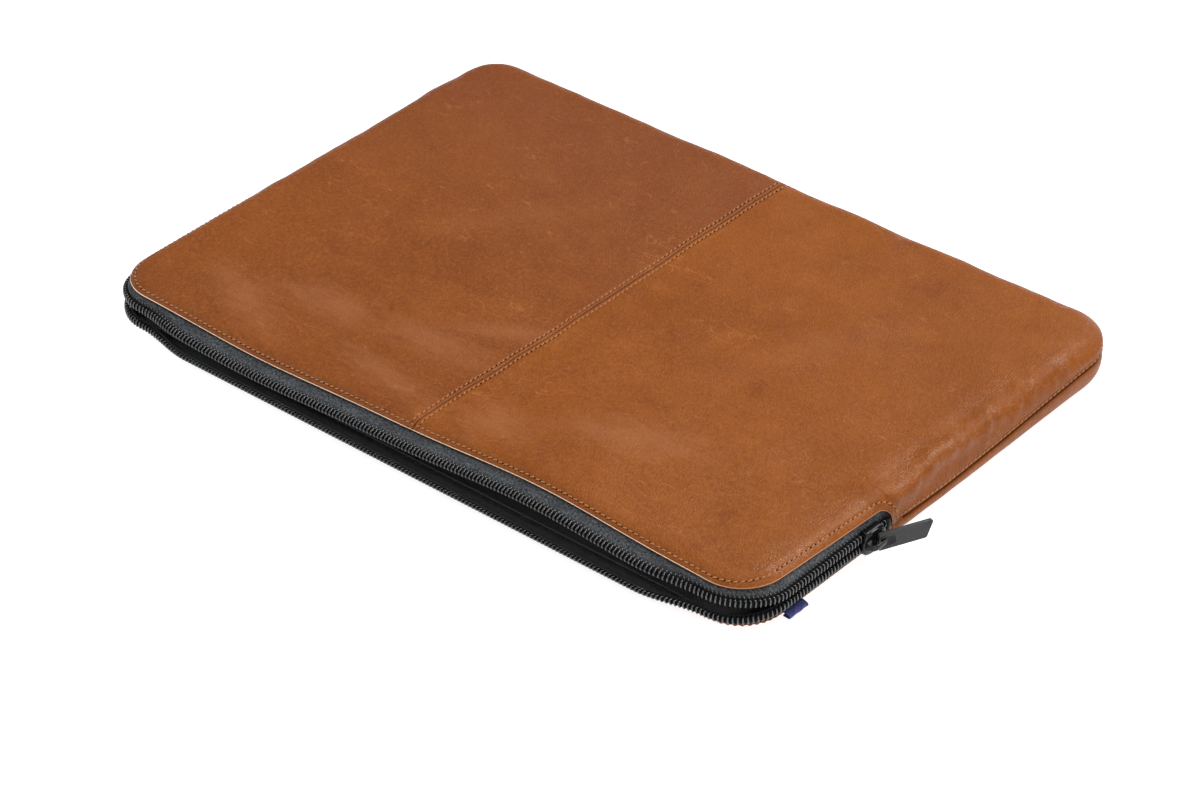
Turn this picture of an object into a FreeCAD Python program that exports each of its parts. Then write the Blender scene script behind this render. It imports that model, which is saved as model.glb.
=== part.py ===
"""Leather laptop sleeve with a zip round its mouth.

The sleeve lies flat. +X runs along the mouth towards the end where the slider is parked,
+Y runs from the mouth to the closed back, +Z is up. The origin is the centre of the flat
bottom face. Millimetres.

The walls are nested layers: leather outside, then foam, then lining. The leather meets in
a seam low on the closed sides. The zip runs in a slot round the front edge and along both
short sides. The mouth flap is the part of the top that lifts when the zip is open.
"""
import FreeCAD
import Part
import math
import os

# Driving dimensions
WIDTH = 340.0            # along X, over the leather
DEPTH = 236.0            # along Y, over the leather
HEIGHT = 22.0            # over the leather
CORNER_R = 22.0          # plan corners
TOP_ROLL = 9.0           # radius of the top edge
BOTTOM_ROLL = 6.0        # radius of the bottom edge
SEAM_Z = 8.0             # height of the turned seam on the closed sides

LEATHER = 1.1
FOAM = 1.5
LINING = 0.4
FOAM_SETBACK = 8.5       # the foam stops this far short of the mouth
FOAM_END = 11.0          # and this far behind the zip's rear end
BACKING_WIDTH = 12.0     # strip under the centre seam
BACKING = 0.3

ZIP_Z = 10.0             # height of the closed zip's centre line
ZIP_END_Y = -33.0        # rear end of the slot on both short sides
SLOT_LOW = 2.3           # lower lip of the leather
SLOT_SIDE = 17.8         # upper lip beside the slot's rear end
SLOT_FRONT = 19.3        # upper lip round the front
LINING_SETBACK = 1.4     # the lining's edge stands back from the leather's by this much

HINGE_Y = -56.0          # line the mouth flap bends about
HINGE_GAP = 0.3

TAPE = 0.8               # tape thickness
TAPE_OUT = -1.3          # outer face of the tape, measured outwards from the leather's side
COIL_WIDTH = 2.8
COIL_THICK = 2.3
OPEN_GAP = 0.9           # half gap between the coils ahead of the slider
CORNER_GAP = 2.75        # half gap between the coils at the mouth's corners
CLOSED_GAP = 0.05        # half gap where the chain is closed
MESH_START_Y = -50.0     # inside the slider, where the coils begin to close
MESH_LENGTH = 8.0
SPREAD_LEAD = 4.0        # the coils begin to part this far short of a front corner
SPREAD_LENGTH = 30.0
TAPE_END_Y = -30.0
COIL_END_Y = -37.5
STOP_LENGTH = 2.5
FLARE_LENGTH = 30.0      # the lips turn outwards over this length past each corner

SLIDER_Y = -47.0         # middle of the slider
SLIDER_LENGTH = 14.0
SLIDER_HALF_Z = 4.9
PIN_X = 174.2            # axis of the puller's pin
PULLER_TILT = 25.0       # degrees the puller stands off the side
GRIP_LENGTH = 23.0       # from the pin to the grip's far end
GRIP_WIDTH = 7.8
GRIP_THICK = 2.0

THREAD_WIDTH = 0.6
THREAD_HEIGHT = 0.25
THREAD_INSET = 3.0       # thread rows stand this far in from a leather edge
CENTRE_ROW = 2.0         # thread rows each side of the centre seam

HALF_W = WIDTH / 2
HALF_D = DEPTH / 2
CORNER_Y = CORNER_R - HALF_D      # where the straight sides meet the front corners
CORNER_ARC = math.pi * CORNER_R / 2
BIG = 400.0


# Solids every part is cut from

def box(low, high):
    size = [b - a for a, b in zip(low, high)]
    return Part.makeBox(*size, FreeCAD.Vector(*low))


def prism(inset, low_z, high_z):
    """Upright prism on the sleeve's plan outline, shrunk by inset."""
    x, y, r = HALF_W - inset, HALF_D - inset, CORNER_R - inset
    arms = [(1, -1, -90), (1, 1, 0), (-1, 1, 90), (-1, -1, 180)]
    corners = []
    for sx, sy, start in arms:
        centre = FreeCAD.Vector(sx * (x - r), sy * (y - r), low_z)
        circle = Part.Circle(centre, FreeCAD.Vector(0, 0, 1), r)
        corners.append(Part.Arc(circle, math.radians(start), math.radians(start + 90)))
    edges = []
    for here, after in zip(corners, corners[1:] + corners[:1]):
        edges.append(here.toShape())
        edges.append(Part.LineSegment(here.EndPoint, after.StartPoint).toShape())
    face = Part.Face(Part.Wire(Part.__sortEdges__(edges)))
    return face.extrude(FreeCAD.Vector(0, 0, high_z - low_z))


def slab(inset):
    """The sleeve's closed outer form, shrunk by inset on every side."""
    low, high = inset, HEIGHT - inset
    body = prism(inset, low, high)
    for z, radius in ((low, BOTTOM_ROLL - inset), (high, TOP_ROLL - inset)):
        rim = [e for e in body.Edges if all(abs(v.Z - z) < 1e-6 for v in e.Vertexes)]
        body = body.makeFillet(radius, rim)
    return body


def layer(inset, thickness):
    return slab(inset).cut(slab(inset + thickness))


def slot(setback):
    """The zip's slot seen from the side, run through the full width."""
    low, side, front = SLOT_LOW + setback, SLOT_SIDE - setback, SLOT_FRONT - setback
    radius = (side - low) / 2
    middle = (side + low) / 2
    arc_y = ZIP_END_Y - radius
    at = lambda y, z: FreeCAD.Vector(-BIG, y, z)
    end = Part.Arc(at(arc_y, side), at(ZIP_END_Y, middle), at(arc_y, low)).toShape()
    corners = [at(arc_y, low), at(-BIG, low), at(-BIG, front), at(CORNER_Y, front)]
    corners.append(at(arc_y, side))
    lines = [Part.LineSegment(a, b).toShape() for a, b in zip(corners, corners[1:])]
    face = Part.Face(Part.Wire([end] + lines))
    return face.extrude(FreeCAD.Vector(2 * BIG, 0, 0))


def above_seam():
    return box((-BIG, -BIG, SEAM_Z), (BIG, BIG, BIG))


def below_seam():
    return box((-BIG, -BIG, -BIG), (BIG, BIG, SEAM_Z))


def flap_zone():
    return box((-BIG, -BIG, -BIG), (BIG, HINGE_Y - HINGE_GAP, BIG))


def rear_zone():
    return box((-BIG, HINGE_Y, -BIG), (BIG, BIG, BIG))


def half_zone(side):
    return box((min(0, side * BIG), -BIG, -BIG), (max(0, side * BIG), BIG, BIG))


# Leather, foam, lining

def leather_parts():
    skin = layer(0, LEATHER).cut(slot(0))
    top = skin.common(above_seam())
    parts = {"bottom_leather": skin.common(below_seam())}
    for name, side in (("left", -1), ("right", 1)):
        panel = top.common(half_zone(side))
        parts[f"top_{name}_leather_rear"] = panel.common(rear_zone())
        parts[f"top_{name}_leather_front"] = panel.common(flap_zone())
    return parts


def backing_strip():
    """Strip glued under the centre seam, let into the foam."""
    end_y = HALF_D - TOP_ROLL - 1
    top = HEIGHT - LEATHER
    half = BACKING_WIDTH / 2
    return box((-half, -end_y, top - BACKING), (half, end_y, top))


def foam_parts():
    rim = prism(-5, -5, HEIGHT + 5).cut(prism(FOAM_SETBACK, -5, HEIGHT + 5))
    near_mouth = box((-BIG, -BIG, -BIG), (BIG, ZIP_END_Y + FOAM_END, BIG))
    foam = layer(LEATHER, FOAM).cut(rim.common(near_mouth)).cut(backing_strip())
    top = foam.common(above_seam())
    return {
        "bottom_foam": foam.common(below_seam()),
        "top_foam_rear": top.common(rear_zone()),
        "top_foam_front": top.common(flap_zone()),
        "top_seam_backing_rear": backing_strip().common(rear_zone()),
        "top_seam_backing_front": backing_strip().common(flap_zone()),
    }


def lining_parts():
    lining = layer(LEATHER + FOAM, LINING).cut(slot(LINING_SETBACK))
    top = lining.common(above_seam())
    return {
        "bottom_lining": lining.common(below_seam()),
        "top_lining_rear": top.common(rear_zone()),
        "top_lining_front": top.common(flap_zone()),
    }


# The mouth's path: from the right-hand end, round the front, to the left-hand end

SIDE_RUN = TAPE_END_Y - CORNER_Y
CORNER_END = SIDE_RUN + CORNER_ARC
PATH_LENGTH = 2 * (CORNER_END + HALF_W - CORNER_R)
HINGE_RUN = TAPE_END_Y - HINGE_Y
MESH_RUN = TAPE_END_Y - MESH_START_Y


def path_point(t):
    """Point and outward normal at length t along the leather's outline."""
    turned = t > PATH_LENGTH / 2
    run = PATH_LENGTH - t if turned else t
    if run <= SIDE_RUN:
        x, y, nx, ny = HALF_W, TAPE_END_Y - run, 1.0, 0.0
    elif run <= CORNER_END:
        angle = (run - SIDE_RUN) / CORNER_R
        nx, ny = math.cos(angle), -math.sin(angle)
        x, y = HALF_W - CORNER_R * (1 - nx), CORNER_Y + CORNER_R * ny
    else:
        x, y = HALF_W - CORNER_R - (run - CORNER_END), -HALF_D
        nx, ny = 0.0, -1.0
    side = -1 if turned else 1
    return FreeCAD.Vector(side * x, y, 0), FreeCAD.Vector(side * nx, ny, 0)


def ease(value):
    value = min(1.0, max(0.0, value))
    return value * value * (3 - 2 * value)


def flare(t):
    """0 where the lips stand upright, 1 where they are turned outwards."""
    run = min(t, PATH_LENGTH - t)
    return ease((run - CORNER_END) / FLARE_LENGTH)


def half_gap(t):
    """Half the gap between the two coils."""
    run = min(t, PATH_LENGTH - t)
    spread = ease((run - SIDE_RUN + SPREAD_LEAD) / SPREAD_LENGTH)
    gap = OPEN_GAP + (CORNER_GAP - OPEN_GAP) * spread
    if t < PATH_LENGTH / 2:
        gap += (CLOSED_GAP - OPEN_GAP) * ease((MESH_RUN - run) / MESH_LENGTH)
    return gap


def stations(start, end):
    """Lengths along the path where a section is needed."""
    marks = [MESH_RUN - MESH_LENGTH * k / 3 for k in range(4)]
    marks += [SIDE_RUN - SPREAD_LEAD, SIDE_RUN]
    marks += [SIDE_RUN + CORNER_ARC * k / 9 for k in range(1, 10)]
    marks += [CORNER_END + FLARE_LENGTH * k / 5 for k in range(1, 6)]
    marks += [PATH_LENGTH - m for m in marks]
    inner = sorted(m for m in marks if start + 0.5 < m < end - 0.5)
    return [start] + inner + [end]


def loft(sections):
    wires = [Part.makePolygon(points + points[:1]) for points in sections]
    return Part.makeLoft(wires, True, True)


def lip_line(upper, t):
    """Outer face of a tape as (outwards, height) points, root first, free edge last."""
    amount = flare(t)
    gap = half_gap(t)
    spread = max(0.0, gap - OPEN_GAP) * 0.6
    if upper:
        upright = [(-7.4, 20.5), (-3.9, 18.8), (-1.9, 16.0 + spread)]
        upright += [(TAPE_OUT, ZIP_Z + gap + COIL_WIDTH), (TAPE_OUT, ZIP_Z + gap)]
        turned = [(-7.4, 20.5), (-4.7, 19.1), (-1.0, 17.1), (3.2, 14.8), (5.5, 12.9)]
    else:
        upright = [(-6.0, 1.35), (-3.0, 2.6), (-1.6, 4.8 - spread)]
        upright += [(TAPE_OUT, ZIP_Z - gap - COIL_WIDTH), (TAPE_OUT, ZIP_Z - gap)]
        turned = [(-6.0, 1.35), (-2.8, 2.7), (-0.5, 3.8), (2.6, 5.3), (4.8, 7.1)]
    return [
        (a + (c - a) * amount, b + (d - b) * amount)
        for (a, b), (c, d) in zip(upright, turned)
    ]


def offset_line(line, distance):
    """Points of an open line moved sideways by distance, mitred at its bends."""
    normals = []
    for (a, b), (c, d) in zip(line, line[1:]):
        length = math.hypot(c - a, d - b)
        normals.append(((b - d) / length, (c - a) / length))
    moved = []
    for index, (a, b) in enumerate(line):
        near = normals[max(0, index - 1):index + 1] or normals[:1]
        nx = sum(n[0] for n in near) / len(near)
        nz = sum(n[1] for n in near) / len(near)
        scale = distance / (nx * nx + nz * nz)
        moved.append((a + nx * scale, b + nz * scale))
    return moved


def section(t, outline):
    base, normal = path_point(t)
    return [base + normal * out + FreeCAD.Vector(0, 0, z) for out, z in outline]


def tape_section(upper, t):
    outer = lip_line(upper, t)
    inner = offset_line(outer, -TAPE if upper else TAPE)
    return section(t, outer + inner[::-1])


def coil_section(upper, t):
    edge = lip_line(upper, t)[-2:]
    outer = offset_line(edge, COIL_THICK if upper else -COIL_THICK)
    return section(t, edge + outer[::-1])


def lip_ribbon(make_section, upper, start, end):
    return loft([make_section(upper, t) for t in stations(start, end)])


def zip_parts():
    flap_run = HINGE_RUN + HINGE_GAP
    coil_run = TAPE_END_Y - COIL_END_Y
    ribbons = (("tape", tape_section, 0.0), ("coil", coil_section, coil_run))
    parts = {}
    for name, make_section, first in ribbons:
        last = PATH_LENGTH - first
        parts[f"lower_zip_{name}"] = lip_ribbon(make_section, False, first, last)
        flap = (flap_run, PATH_LENGTH - flap_run)
        parts[f"upper_zip_{name}"] = lip_ribbon(make_section, True, *flap)
        ends = [(first, HINGE_RUN), (PATH_LENGTH - HINGE_RUN, last)]
        pieces = [lip_ribbon(make_section, True, *span) for span in ends]
        parts[f"upper_zip_{name}_ends"] = Part.Compound(pieces)
    return parts


def stop_block(side, low_z, high_z):
    x_in, x_out = HALF_W + TAPE_OUT, HALF_W + TAPE_OUT + COIL_THICK + 0.2
    low = (min(side * x_in, side * x_out), COIL_END_Y, low_z)
    high = (max(side * x_in, side * x_out), COIL_END_Y + STOP_LENGTH, high_z)
    block = box(low, high)
    upright = [e for e in block.Edges if abs(e.Vertexes[0].Z - e.Vertexes[1].Z) > 1]
    outer = [e for e in upright if abs(abs(e.Vertexes[0].X) - x_out) < 1e-6]
    return block.makeFillet(0.6, outer)


def stop_parts():
    reach = OPEN_GAP + COIL_WIDTH
    return {
        "zip_bottom_stop": stop_block(1, ZIP_Z - 3.1, ZIP_Z + 3.1),
        "zip_top_stops": Part.Compound([
            stop_block(-1, ZIP_Z + OPEN_GAP, ZIP_Z + reach),
            stop_block(-1, ZIP_Z - reach, ZIP_Z - OPEN_GAP),
        ]),
    }


# Slider and puller

def slider_plate(low_x, high_x, half=SLIDER_HALF_Z):
    """Plate with a round nose where the coils enter and a narrower tail."""
    front, tail = SLIDER_Y - SLIDER_LENGTH / 2, SLIDER_Y + SLIDER_LENGTH / 2
    tail_half = half - 0.9
    at = lambda y, z: FreeCAD.Vector(low_x, y, ZIP_Z + z)
    nose = Part.Arc(at(front + 3.5, half), at(front, 0), at(front + 3.5, -half)).toShape()
    corners = [at(front + 3.5, -half), at(SLIDER_Y + 2, -half), at(tail - 1, -tail_half)]
    corners += [at(tail, -tail_half + 1), at(tail, tail_half - 1)]
    corners += [at(tail - 1, tail_half), at(SLIDER_Y + 2, half), at(front + 3.5, half)]
    lines = [Part.LineSegment(a, b).toShape() for a, b in zip(corners, corners[1:])]
    face = Part.Face(Part.Wire([nose] + lines))
    return face.extrude(FreeCAD.Vector(high_x - low_x, 0, 0))


def slider_body():
    plate_in, plate_out = HALF_W + 1.6, HALF_W + 2.9
    back_in, back_out, back_half = HALF_W - 4.0, HALF_W - 2.7, SLIDER_HALF_Z - 0.7
    front = SLIDER_Y - SLIDER_LENGTH / 2
    channel_half = OPEN_GAP + COIL_WIDTH + 0.3
    body = slider_plate(plate_in, plate_out).fuse(slider_plate(back_in, back_out, back_half))
    walls = slider_plate(HALF_W - 0.9, plate_in)
    walls = walls.cut(box((0, -BIG, ZIP_Z - channel_half), (BIG, BIG, ZIP_Z + channel_half)))
    walls = walls.common(box((0, front + 2.5, 0), (BIG, SLIDER_Y + 6, BIG)))
    wedge = box((back_out, front + 0.4, ZIP_Z - 0.6), (plate_in, front + 3.2, ZIP_Z + 0.6))
    feet_out, bar_in, bar_out = 5.2, HALF_W + 5.5, HALF_W + 6.7
    bridge = box((plate_out, SLIDER_Y - feet_out, ZIP_Z - 1.3),
                 (bar_out, SLIDER_Y + feet_out, ZIP_Z + 1.3))
    ends = [e for e in bridge.Edges if e.Length < 2.7
            and all(abs(v.X - bar_out) < 1e-6 for v in e.Vertexes)]
    bridge = bridge.makeFillet(1.8, ends)
    window = box((plate_out, SLIDER_Y - feet_out + 1.5, 0), (bar_in, SLIDER_Y + feet_out - 1.5, BIG))
    return body.fuse(walls).fuse(wedge).fuse(bridge.cut(window)).removeSplitter()


def tilted(shape):
    """Turn a puller piece modelled along +Y from the pin to its resting tilt."""
    shape.rotate(FreeCAD.Vector(PIN_X, SLIDER_Y, 0), FreeCAD.Vector(0, 0, 1), -PULLER_TILT)
    return shape


def puller_parts():
    pin_r, arm_in, arm_out, arm_half = 0.9, 1.7, 3.1, 0.6
    grip_start, arm_end = 6.6, 9.0
    pin = Part.makeCylinder(pin_r, 2 * arm_out, FreeCAD.Vector(PIN_X, SLIDER_Y, ZIP_Z - arm_out))
    ring = pin
    for side in (-1, 1):
        low_z, high_z = sorted((ZIP_Z + side * arm_in, ZIP_Z + side * arm_out))
        low = (PIN_X - arm_half, SLIDER_Y, low_z)
        ring = ring.fuse(box(low, (PIN_X + arm_half, SLIDER_Y + arm_end, high_z)))
    ring = ring.removeSplitter()
    half_t, half_w = GRIP_THICK / 2, GRIP_WIDTH / 2
    at = lambda along, z: FreeCAD.Vector(PIN_X - half_t, SLIDER_Y + along, ZIP_Z + z)
    outline = [at(grip_start, -half_w + 0.8), at(grip_start + 0.8, -half_w)]
    outline += [at(GRIP_LENGTH - 4, -half_w), at(GRIP_LENGTH - 3, -half_w + 1)]
    outline += [at(GRIP_LENGTH, half_w - 0.8), at(GRIP_LENGTH - 0.8, half_w)]
    outline += [at(grip_start + 0.8, half_w), at(grip_start, half_w - 0.8)]
    face = Part.Face(Part.makePolygon(outline + outline[:1]))
    grip = face.extrude(FreeCAD.Vector(GRIP_THICK, 0, 0)).cut(ring)
    return {"puller_ring": tilted(ring), "puller_grip": tilted(grip)}


# Thread rows and the side tab

SLOT_ARC_RUN = TAPE_END_Y - ZIP_END_Y + (SLOT_SIDE - SLOT_LOW) / 2


def skin_out(z):
    """How far the leather's surface stands out at height z."""
    if z > HEIGHT - TOP_ROLL:
        rise = z - (HEIGHT - TOP_ROLL)
        return math.sqrt(TOP_ROLL ** 2 - rise ** 2) - TOP_ROLL
    if z < BOTTOM_ROLL:
        return math.sqrt(BOTTOM_ROLL ** 2 - (BOTTOM_ROLL - z) ** 2) - BOTTOM_ROLL
    return 0.0


def skin_normal(normal, z):
    """Normal of the leather at height z, where the plan normal is given."""
    if z > HEIGHT - TOP_ROLL:
        sine = (z - (HEIGHT - TOP_ROLL)) / TOP_ROLL
    elif z < BOTTOM_ROLL:
        sine = (z - BOTTOM_ROLL) / BOTTOM_ROLL
    else:
        sine = 0.0
    return normal * math.sqrt(1 - sine * sine) + FreeCAD.Vector(0, 0, sine)


def thread(spots):
    """A flat thread along spots, each a point on the leather and its normal."""
    sections = []
    for index, (point, normal) in enumerate(spots):
        before = spots[max(0, index - 1)][0]
        after = spots[min(len(spots) - 1, index + 1)][0]
        across = (after - before).cross(normal)
        across.normalize()
        across = across * (THREAD_WIDTH / 2)
        low = point + normal * 0.05
        high = point + normal * THREAD_HEIGHT
        sections.append([low - across, low + across, high + across, high - across])
    return loft(sections)


def spot(t, z):
    base, normal = path_point(t)
    point = base + normal * skin_out(z) + FreeCAD.Vector(0, 0, z)
    return point, skin_normal(normal, z)


def upper_row_height(y):
    """Height of the thread row that follows the upper lip."""
    arc_y = TAPE_END_Y - SLOT_ARC_RUN
    share = min(1.0, max(0.0, (arc_y - y) / (arc_y - CORNER_Y)))
    lip_z = SLOT_SIDE + (SLOT_FRONT - SLOT_SIDE) * share
    centre_z = HEIGHT - TOP_ROLL
    angle = math.asin((lip_z - centre_z) / TOP_ROLL) + THREAD_INSET / TOP_ROLL
    return centre_z + TOP_ROLL * math.sin(angle)


def slot_end_spots(side):
    """Thread round the rear end of the slot, from the seam up to the upper row."""
    radius = (SLOT_SIDE - SLOT_LOW) / 2 + THREAD_INSET
    centre_y, centre_z = ZIP_END_Y + THREAD_INSET - radius, (SLOT_SIDE + SLOT_LOW) / 2
    top_angle = math.degrees(math.asin((upper_row_height(centre_y) - centre_z) / radius))
    spots = []
    for step in range(12):
        angle = math.radians(-3 + (top_angle + 3) * step / 11)
        y, z = centre_y + radius * math.cos(angle), centre_z + radius * math.sin(angle)
        point = FreeCAD.Vector(side * (HALF_W + skin_out(z)), y, z)
        spots.append((point, skin_normal(FreeCAD.Vector(side, 0, 0), z)))
    return spots


def upper_spot(t):
    return spot(t, upper_row_height(path_point(t)[0].y))


def rear_upper_thread(side):
    """From the seam, round the slot's rear end and forward to the hinge line."""
    runs = [SLOT_ARC_RUN + 4, HINGE_RUN]
    if side < 0:
        runs = [PATH_LENGTH - run for run in runs]
    return thread(slot_end_spots(side) + [upper_spot(t) for t in runs])


def lower_row_height():
    angle = math.asin((BOTTOM_ROLL - SLOT_LOW) / BOTTOM_ROLL) + THREAD_INSET / BOTTOM_ROLL
    return BOTTOM_ROLL * (1 - math.sin(angle))


def closed_side_spots(z):
    """Round the closed sides and back, just above the turned seam."""
    spots = []
    for side, order in ((1, 1), (-1, -1)):
        arc = []
        start = FreeCAD.Vector(side * HALF_W, ZIP_END_Y + THREAD_INSET + 3, z)
        arc.append((start, FreeCAD.Vector(side, 0, 0)))
        for step in range(19):
            angle = math.radians(5 * step)
            normal = FreeCAD.Vector(side * math.cos(angle), math.sin(angle), 0)
            centre = FreeCAD.Vector(side * (HALF_W - CORNER_R), HALF_D - CORNER_R, z)
            arc.append((centre + normal * CORNER_R, normal))
        spots += arc[::order]
    return spots


def centre_rows():
    """The two thread rows along the centre seam, where the top is flat."""
    half, end_y = THREAD_WIDTH / 2, HALF_D - TOP_ROLL - 1
    rows = []
    for x in (-CENTRE_ROW, CENTRE_ROW):
        rows.append(box((x - half, -end_y, HEIGHT), (x + half, end_y, HEIGHT + THREAD_HEIGHT)))
    return Part.Compound(rows)


def thread_parts():
    flap_run = HINGE_RUN + HINGE_GAP
    upper = [upper_spot(t) for t in stations(flap_run, PATH_LENGTH - flap_run)]
    low_z = lower_row_height()
    lower = [spot(t, low_z) for t in stations(SLOT_ARC_RUN, PATH_LENGTH - SLOT_ARC_RUN)]
    return {
        "upper_mouth_thread_front": thread(upper),
        "upper_mouth_thread_rear": Part.Compound([rear_upper_thread(side) for side in (1, -1)]),
        "lower_mouth_thread": thread(lower),
        "edge_seam_thread": thread(closed_side_spots(SEAM_Z + 1.6)),
        "centre_seam_thread_front": centre_rows().common(flap_zone()),
        "centre_seam_thread_rear": centre_rows().common(rear_zone()),
    }


def side_tab():
    """Short folded ribbon that stands out of the lower lip near the right-hand corner."""
    tape_face = HALF_W + TAPE_OUT + 0.05
    profile = [(0, 2.5), (1.2, 2.6), (3.4, 1.6), (4.2, 1.7), (4.4, 2.3), (3.8, 2.9), (1.4, 3.9), (0, 3.8)]
    points = [FreeCAD.Vector(tape_face + x, -98, z) for x, z in profile]
    face = Part.Face(Part.makePolygon(points + points[:1]))
    return face.extrude(FreeCAD.Vector(0, 14, 0))


def main():
    parts = {}
    for group in (leather_parts, foam_parts, lining_parts, zip_parts, stop_parts):
        parts.update(group())
    parts["slider_body"] = slider_body()
    parts.update(puller_parts())
    parts.update(thread_parts())
    parts["side_tab"] = side_tab()
    os.makedirs("parts", exist_ok=True)
    for name, shape in parts.items():
        shape.exportStep(f"parts/{name}.step")
        box_text = shape.BoundBox
        print(f"{name:28s} solids {len(shape.Solids)} valid {shape.isValid()} "
              f"volume {shape.Volume:9.1f}  z {box_text.ZMin:6.2f}..{box_text.ZMax:6.2f}")


main()
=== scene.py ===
"""Looks of the leather laptop sleeve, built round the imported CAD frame."""
import math

import bmesh
import bpy
import numpy as np
from mathutils import Matrix, Vector


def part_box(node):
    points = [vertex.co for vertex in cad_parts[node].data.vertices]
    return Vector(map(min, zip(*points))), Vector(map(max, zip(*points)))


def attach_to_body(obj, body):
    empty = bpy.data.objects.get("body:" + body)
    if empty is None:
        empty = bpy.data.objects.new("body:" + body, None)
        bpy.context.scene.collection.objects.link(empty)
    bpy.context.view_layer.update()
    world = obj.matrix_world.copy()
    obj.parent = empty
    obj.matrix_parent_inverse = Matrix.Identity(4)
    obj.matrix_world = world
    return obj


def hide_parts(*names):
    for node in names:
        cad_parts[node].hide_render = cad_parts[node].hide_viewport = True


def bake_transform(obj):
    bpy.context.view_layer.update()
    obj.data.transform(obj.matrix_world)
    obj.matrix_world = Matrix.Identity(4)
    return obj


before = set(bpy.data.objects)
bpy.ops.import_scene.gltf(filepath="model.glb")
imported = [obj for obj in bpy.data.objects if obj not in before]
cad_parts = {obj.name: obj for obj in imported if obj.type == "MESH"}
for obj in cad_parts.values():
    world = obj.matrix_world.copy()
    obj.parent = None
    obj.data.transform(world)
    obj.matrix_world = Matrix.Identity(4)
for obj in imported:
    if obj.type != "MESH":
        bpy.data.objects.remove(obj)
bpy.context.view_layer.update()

MM = 0.001


def corners(node):
    """Lowest and highest corner of a CAD node, in millimetres."""
    low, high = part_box(node)
    return np.array(low) / MM, np.array(high) / MM


# Driving dimensions, in millimetres. Those that the frame gives are read from it.
leather_high = corners("bottom_leather")[1]
HALF_W = round(float(leather_high[0]), 3)
HALF_D = round(float(leather_high[1]), 3)
TOP_Z = round(float(corners("top_left_leather_rear")[1][2]), 3)
CORNER_R = 22.0
TOP_ROLL = 9.0
BOTTOM_ROLL = 6.0
SEAM_Z = round(float(leather_high[2]), 3)
LEATHER = 1.1
FOAM = 1.5
LINING = 0.4

ZIP_Z = 10.0
ZIP_END_Y = -33.0
SLOT_LOW = 2.3
SLOT_SIDE = 17.8
SLOT_FRONT = 19.3
SLOT_MIDDLE = (SLOT_LOW + SLOT_SIDE) / 2
SLOT_HALF = (SLOT_SIDE - SLOT_LOW) / 2
SLOT_ARC_Y = ZIP_END_Y - SLOT_HALF     # the slot rounds off behind this line
LIP_THICK = 1.45           # leather folded over along the mouth
HEM = 7.0                  # the fold reaches this far in from the edge
LINING_SETBACK = 1.4

TAPE = 0.7
TAPE_OUT = -1.3
COIL_WIDTH = 2.8
OPEN_GAP = 0.9
CORNER_GAP = 2.75
CLOSED_GAP = 0.05
MESH_START_Y = -50.0
MESH_LENGTH = 8.0
SPREAD_LEAD = 4.0
SPREAD_LENGTH = 30.0
FLARE_LENGTH = 30.0
TAPE_END_Y = -30.0
COIL_END_Y = -37.5

STITCH = 2.75              # stitch pitch
THREAD_INSET = 3.0
FRONT_INSET = 1.8          # along the front the row runs nearer the lip
CENTRE_ROW = 2.0
SEAM_ROW = 1.7             # distance of the closed sides' row from their seam

STRAIGHT_FRONT = HALF_W - CORNER_R
STRAIGHT_Y = HALF_D - CORNER_R
ARC = CORNER_R * math.pi / 2
HALF_OUTLINE = 2 * (STRAIGHT_FRONT + ARC + STRAIGHT_Y)
CORE_GAP = 15.0            # flat band between the inner grid and the start of the top roll
CORE_X = HALF_W - 24.0
CORE_Y = HALF_D - 24.0
CORNER_CORE = 26.0         # length of the inner grid's side that feeds half a corner
UP = np.array([0.0, 0.0, 1.0])


def ease(value):
    value = np.clip(value, 0.0, 1.0)
    return value * value * (3 - 2 * value)


def bell(value, width):
    return np.exp(-(value / width) ** 2)


def unit(vectors):
    return vectors / np.linalg.norm(vectors, axis=-1, keepdims=True)


def ripples(x, y, seed, size, count=7):
    """Smooth random relief between about -1 and 1, with features of the given size."""
    draw = np.random.default_rng(seed)
    total = np.zeros(np.broadcast(x, y).shape)
    for _ in range(count):
        angle = draw.uniform(0, math.tau)
        length = size * draw.uniform(0.7, 1.6)
        phase = draw.uniform(0, math.tau)
        along = x * math.cos(angle) + y * math.sin(angle)
        total = total + np.sin(math.tau * along / length + phase)
    return total / math.sqrt(count * 2.0)


# The plan outline and the skin's section

def outline(u):
    """Point and outward normal on the right-hand half outline, u from the front's middle."""
    u = np.asarray(u, float)
    behind = u > HALF_OUTLINE / 2
    v = np.where(behind, HALF_OUTLINE - u, u)
    angle = np.clip((v - STRAIGHT_FRONT) / CORNER_R, 0, math.pi / 2)
    nx, ny = np.sin(angle), -np.cos(angle)
    rise = np.maximum(0.0, v - STRAIGHT_FRONT - ARC)
    x = np.minimum(v, STRAIGHT_FRONT) + CORNER_R * nx
    y = -STRAIGHT_Y + CORNER_R * ny + rise
    flip = np.where(behind, -1.0, 1.0)
    return x, y * flip, nx, ny * flip


def edge_height(y, upper, setback=0.0):
    """Height of the leather's edge at an outline point: the mouth's lip, or the closed seam."""
    low, side, front = SLOT_LOW + setback, SLOT_SIDE - setback, SLOT_FRONT - setback
    radius = (side - low) / 2
    middle = (side + low) / 2
    arc_y = ZIP_END_Y - radius
    share = np.clip((arc_y - y) / (arc_y + STRAIGHT_Y), 0, 1)
    reach = np.sqrt(np.maximum(0.0, radius ** 2 - np.maximum(0.0, y - arc_y) ** 2))
    if upper:
        lip = np.where(y > arc_y, middle + reach, side + (front - side) * share)
        return np.where(y >= ZIP_END_Y - 0.01, SEAM_Z, np.maximum(lip, SEAM_Z))
    lip = np.where(y > arc_y, middle - reach, low)
    return np.where(y >= ZIP_END_Y - 0.01, SEAM_Z, np.minimum(lip, SEAM_Z))


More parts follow.
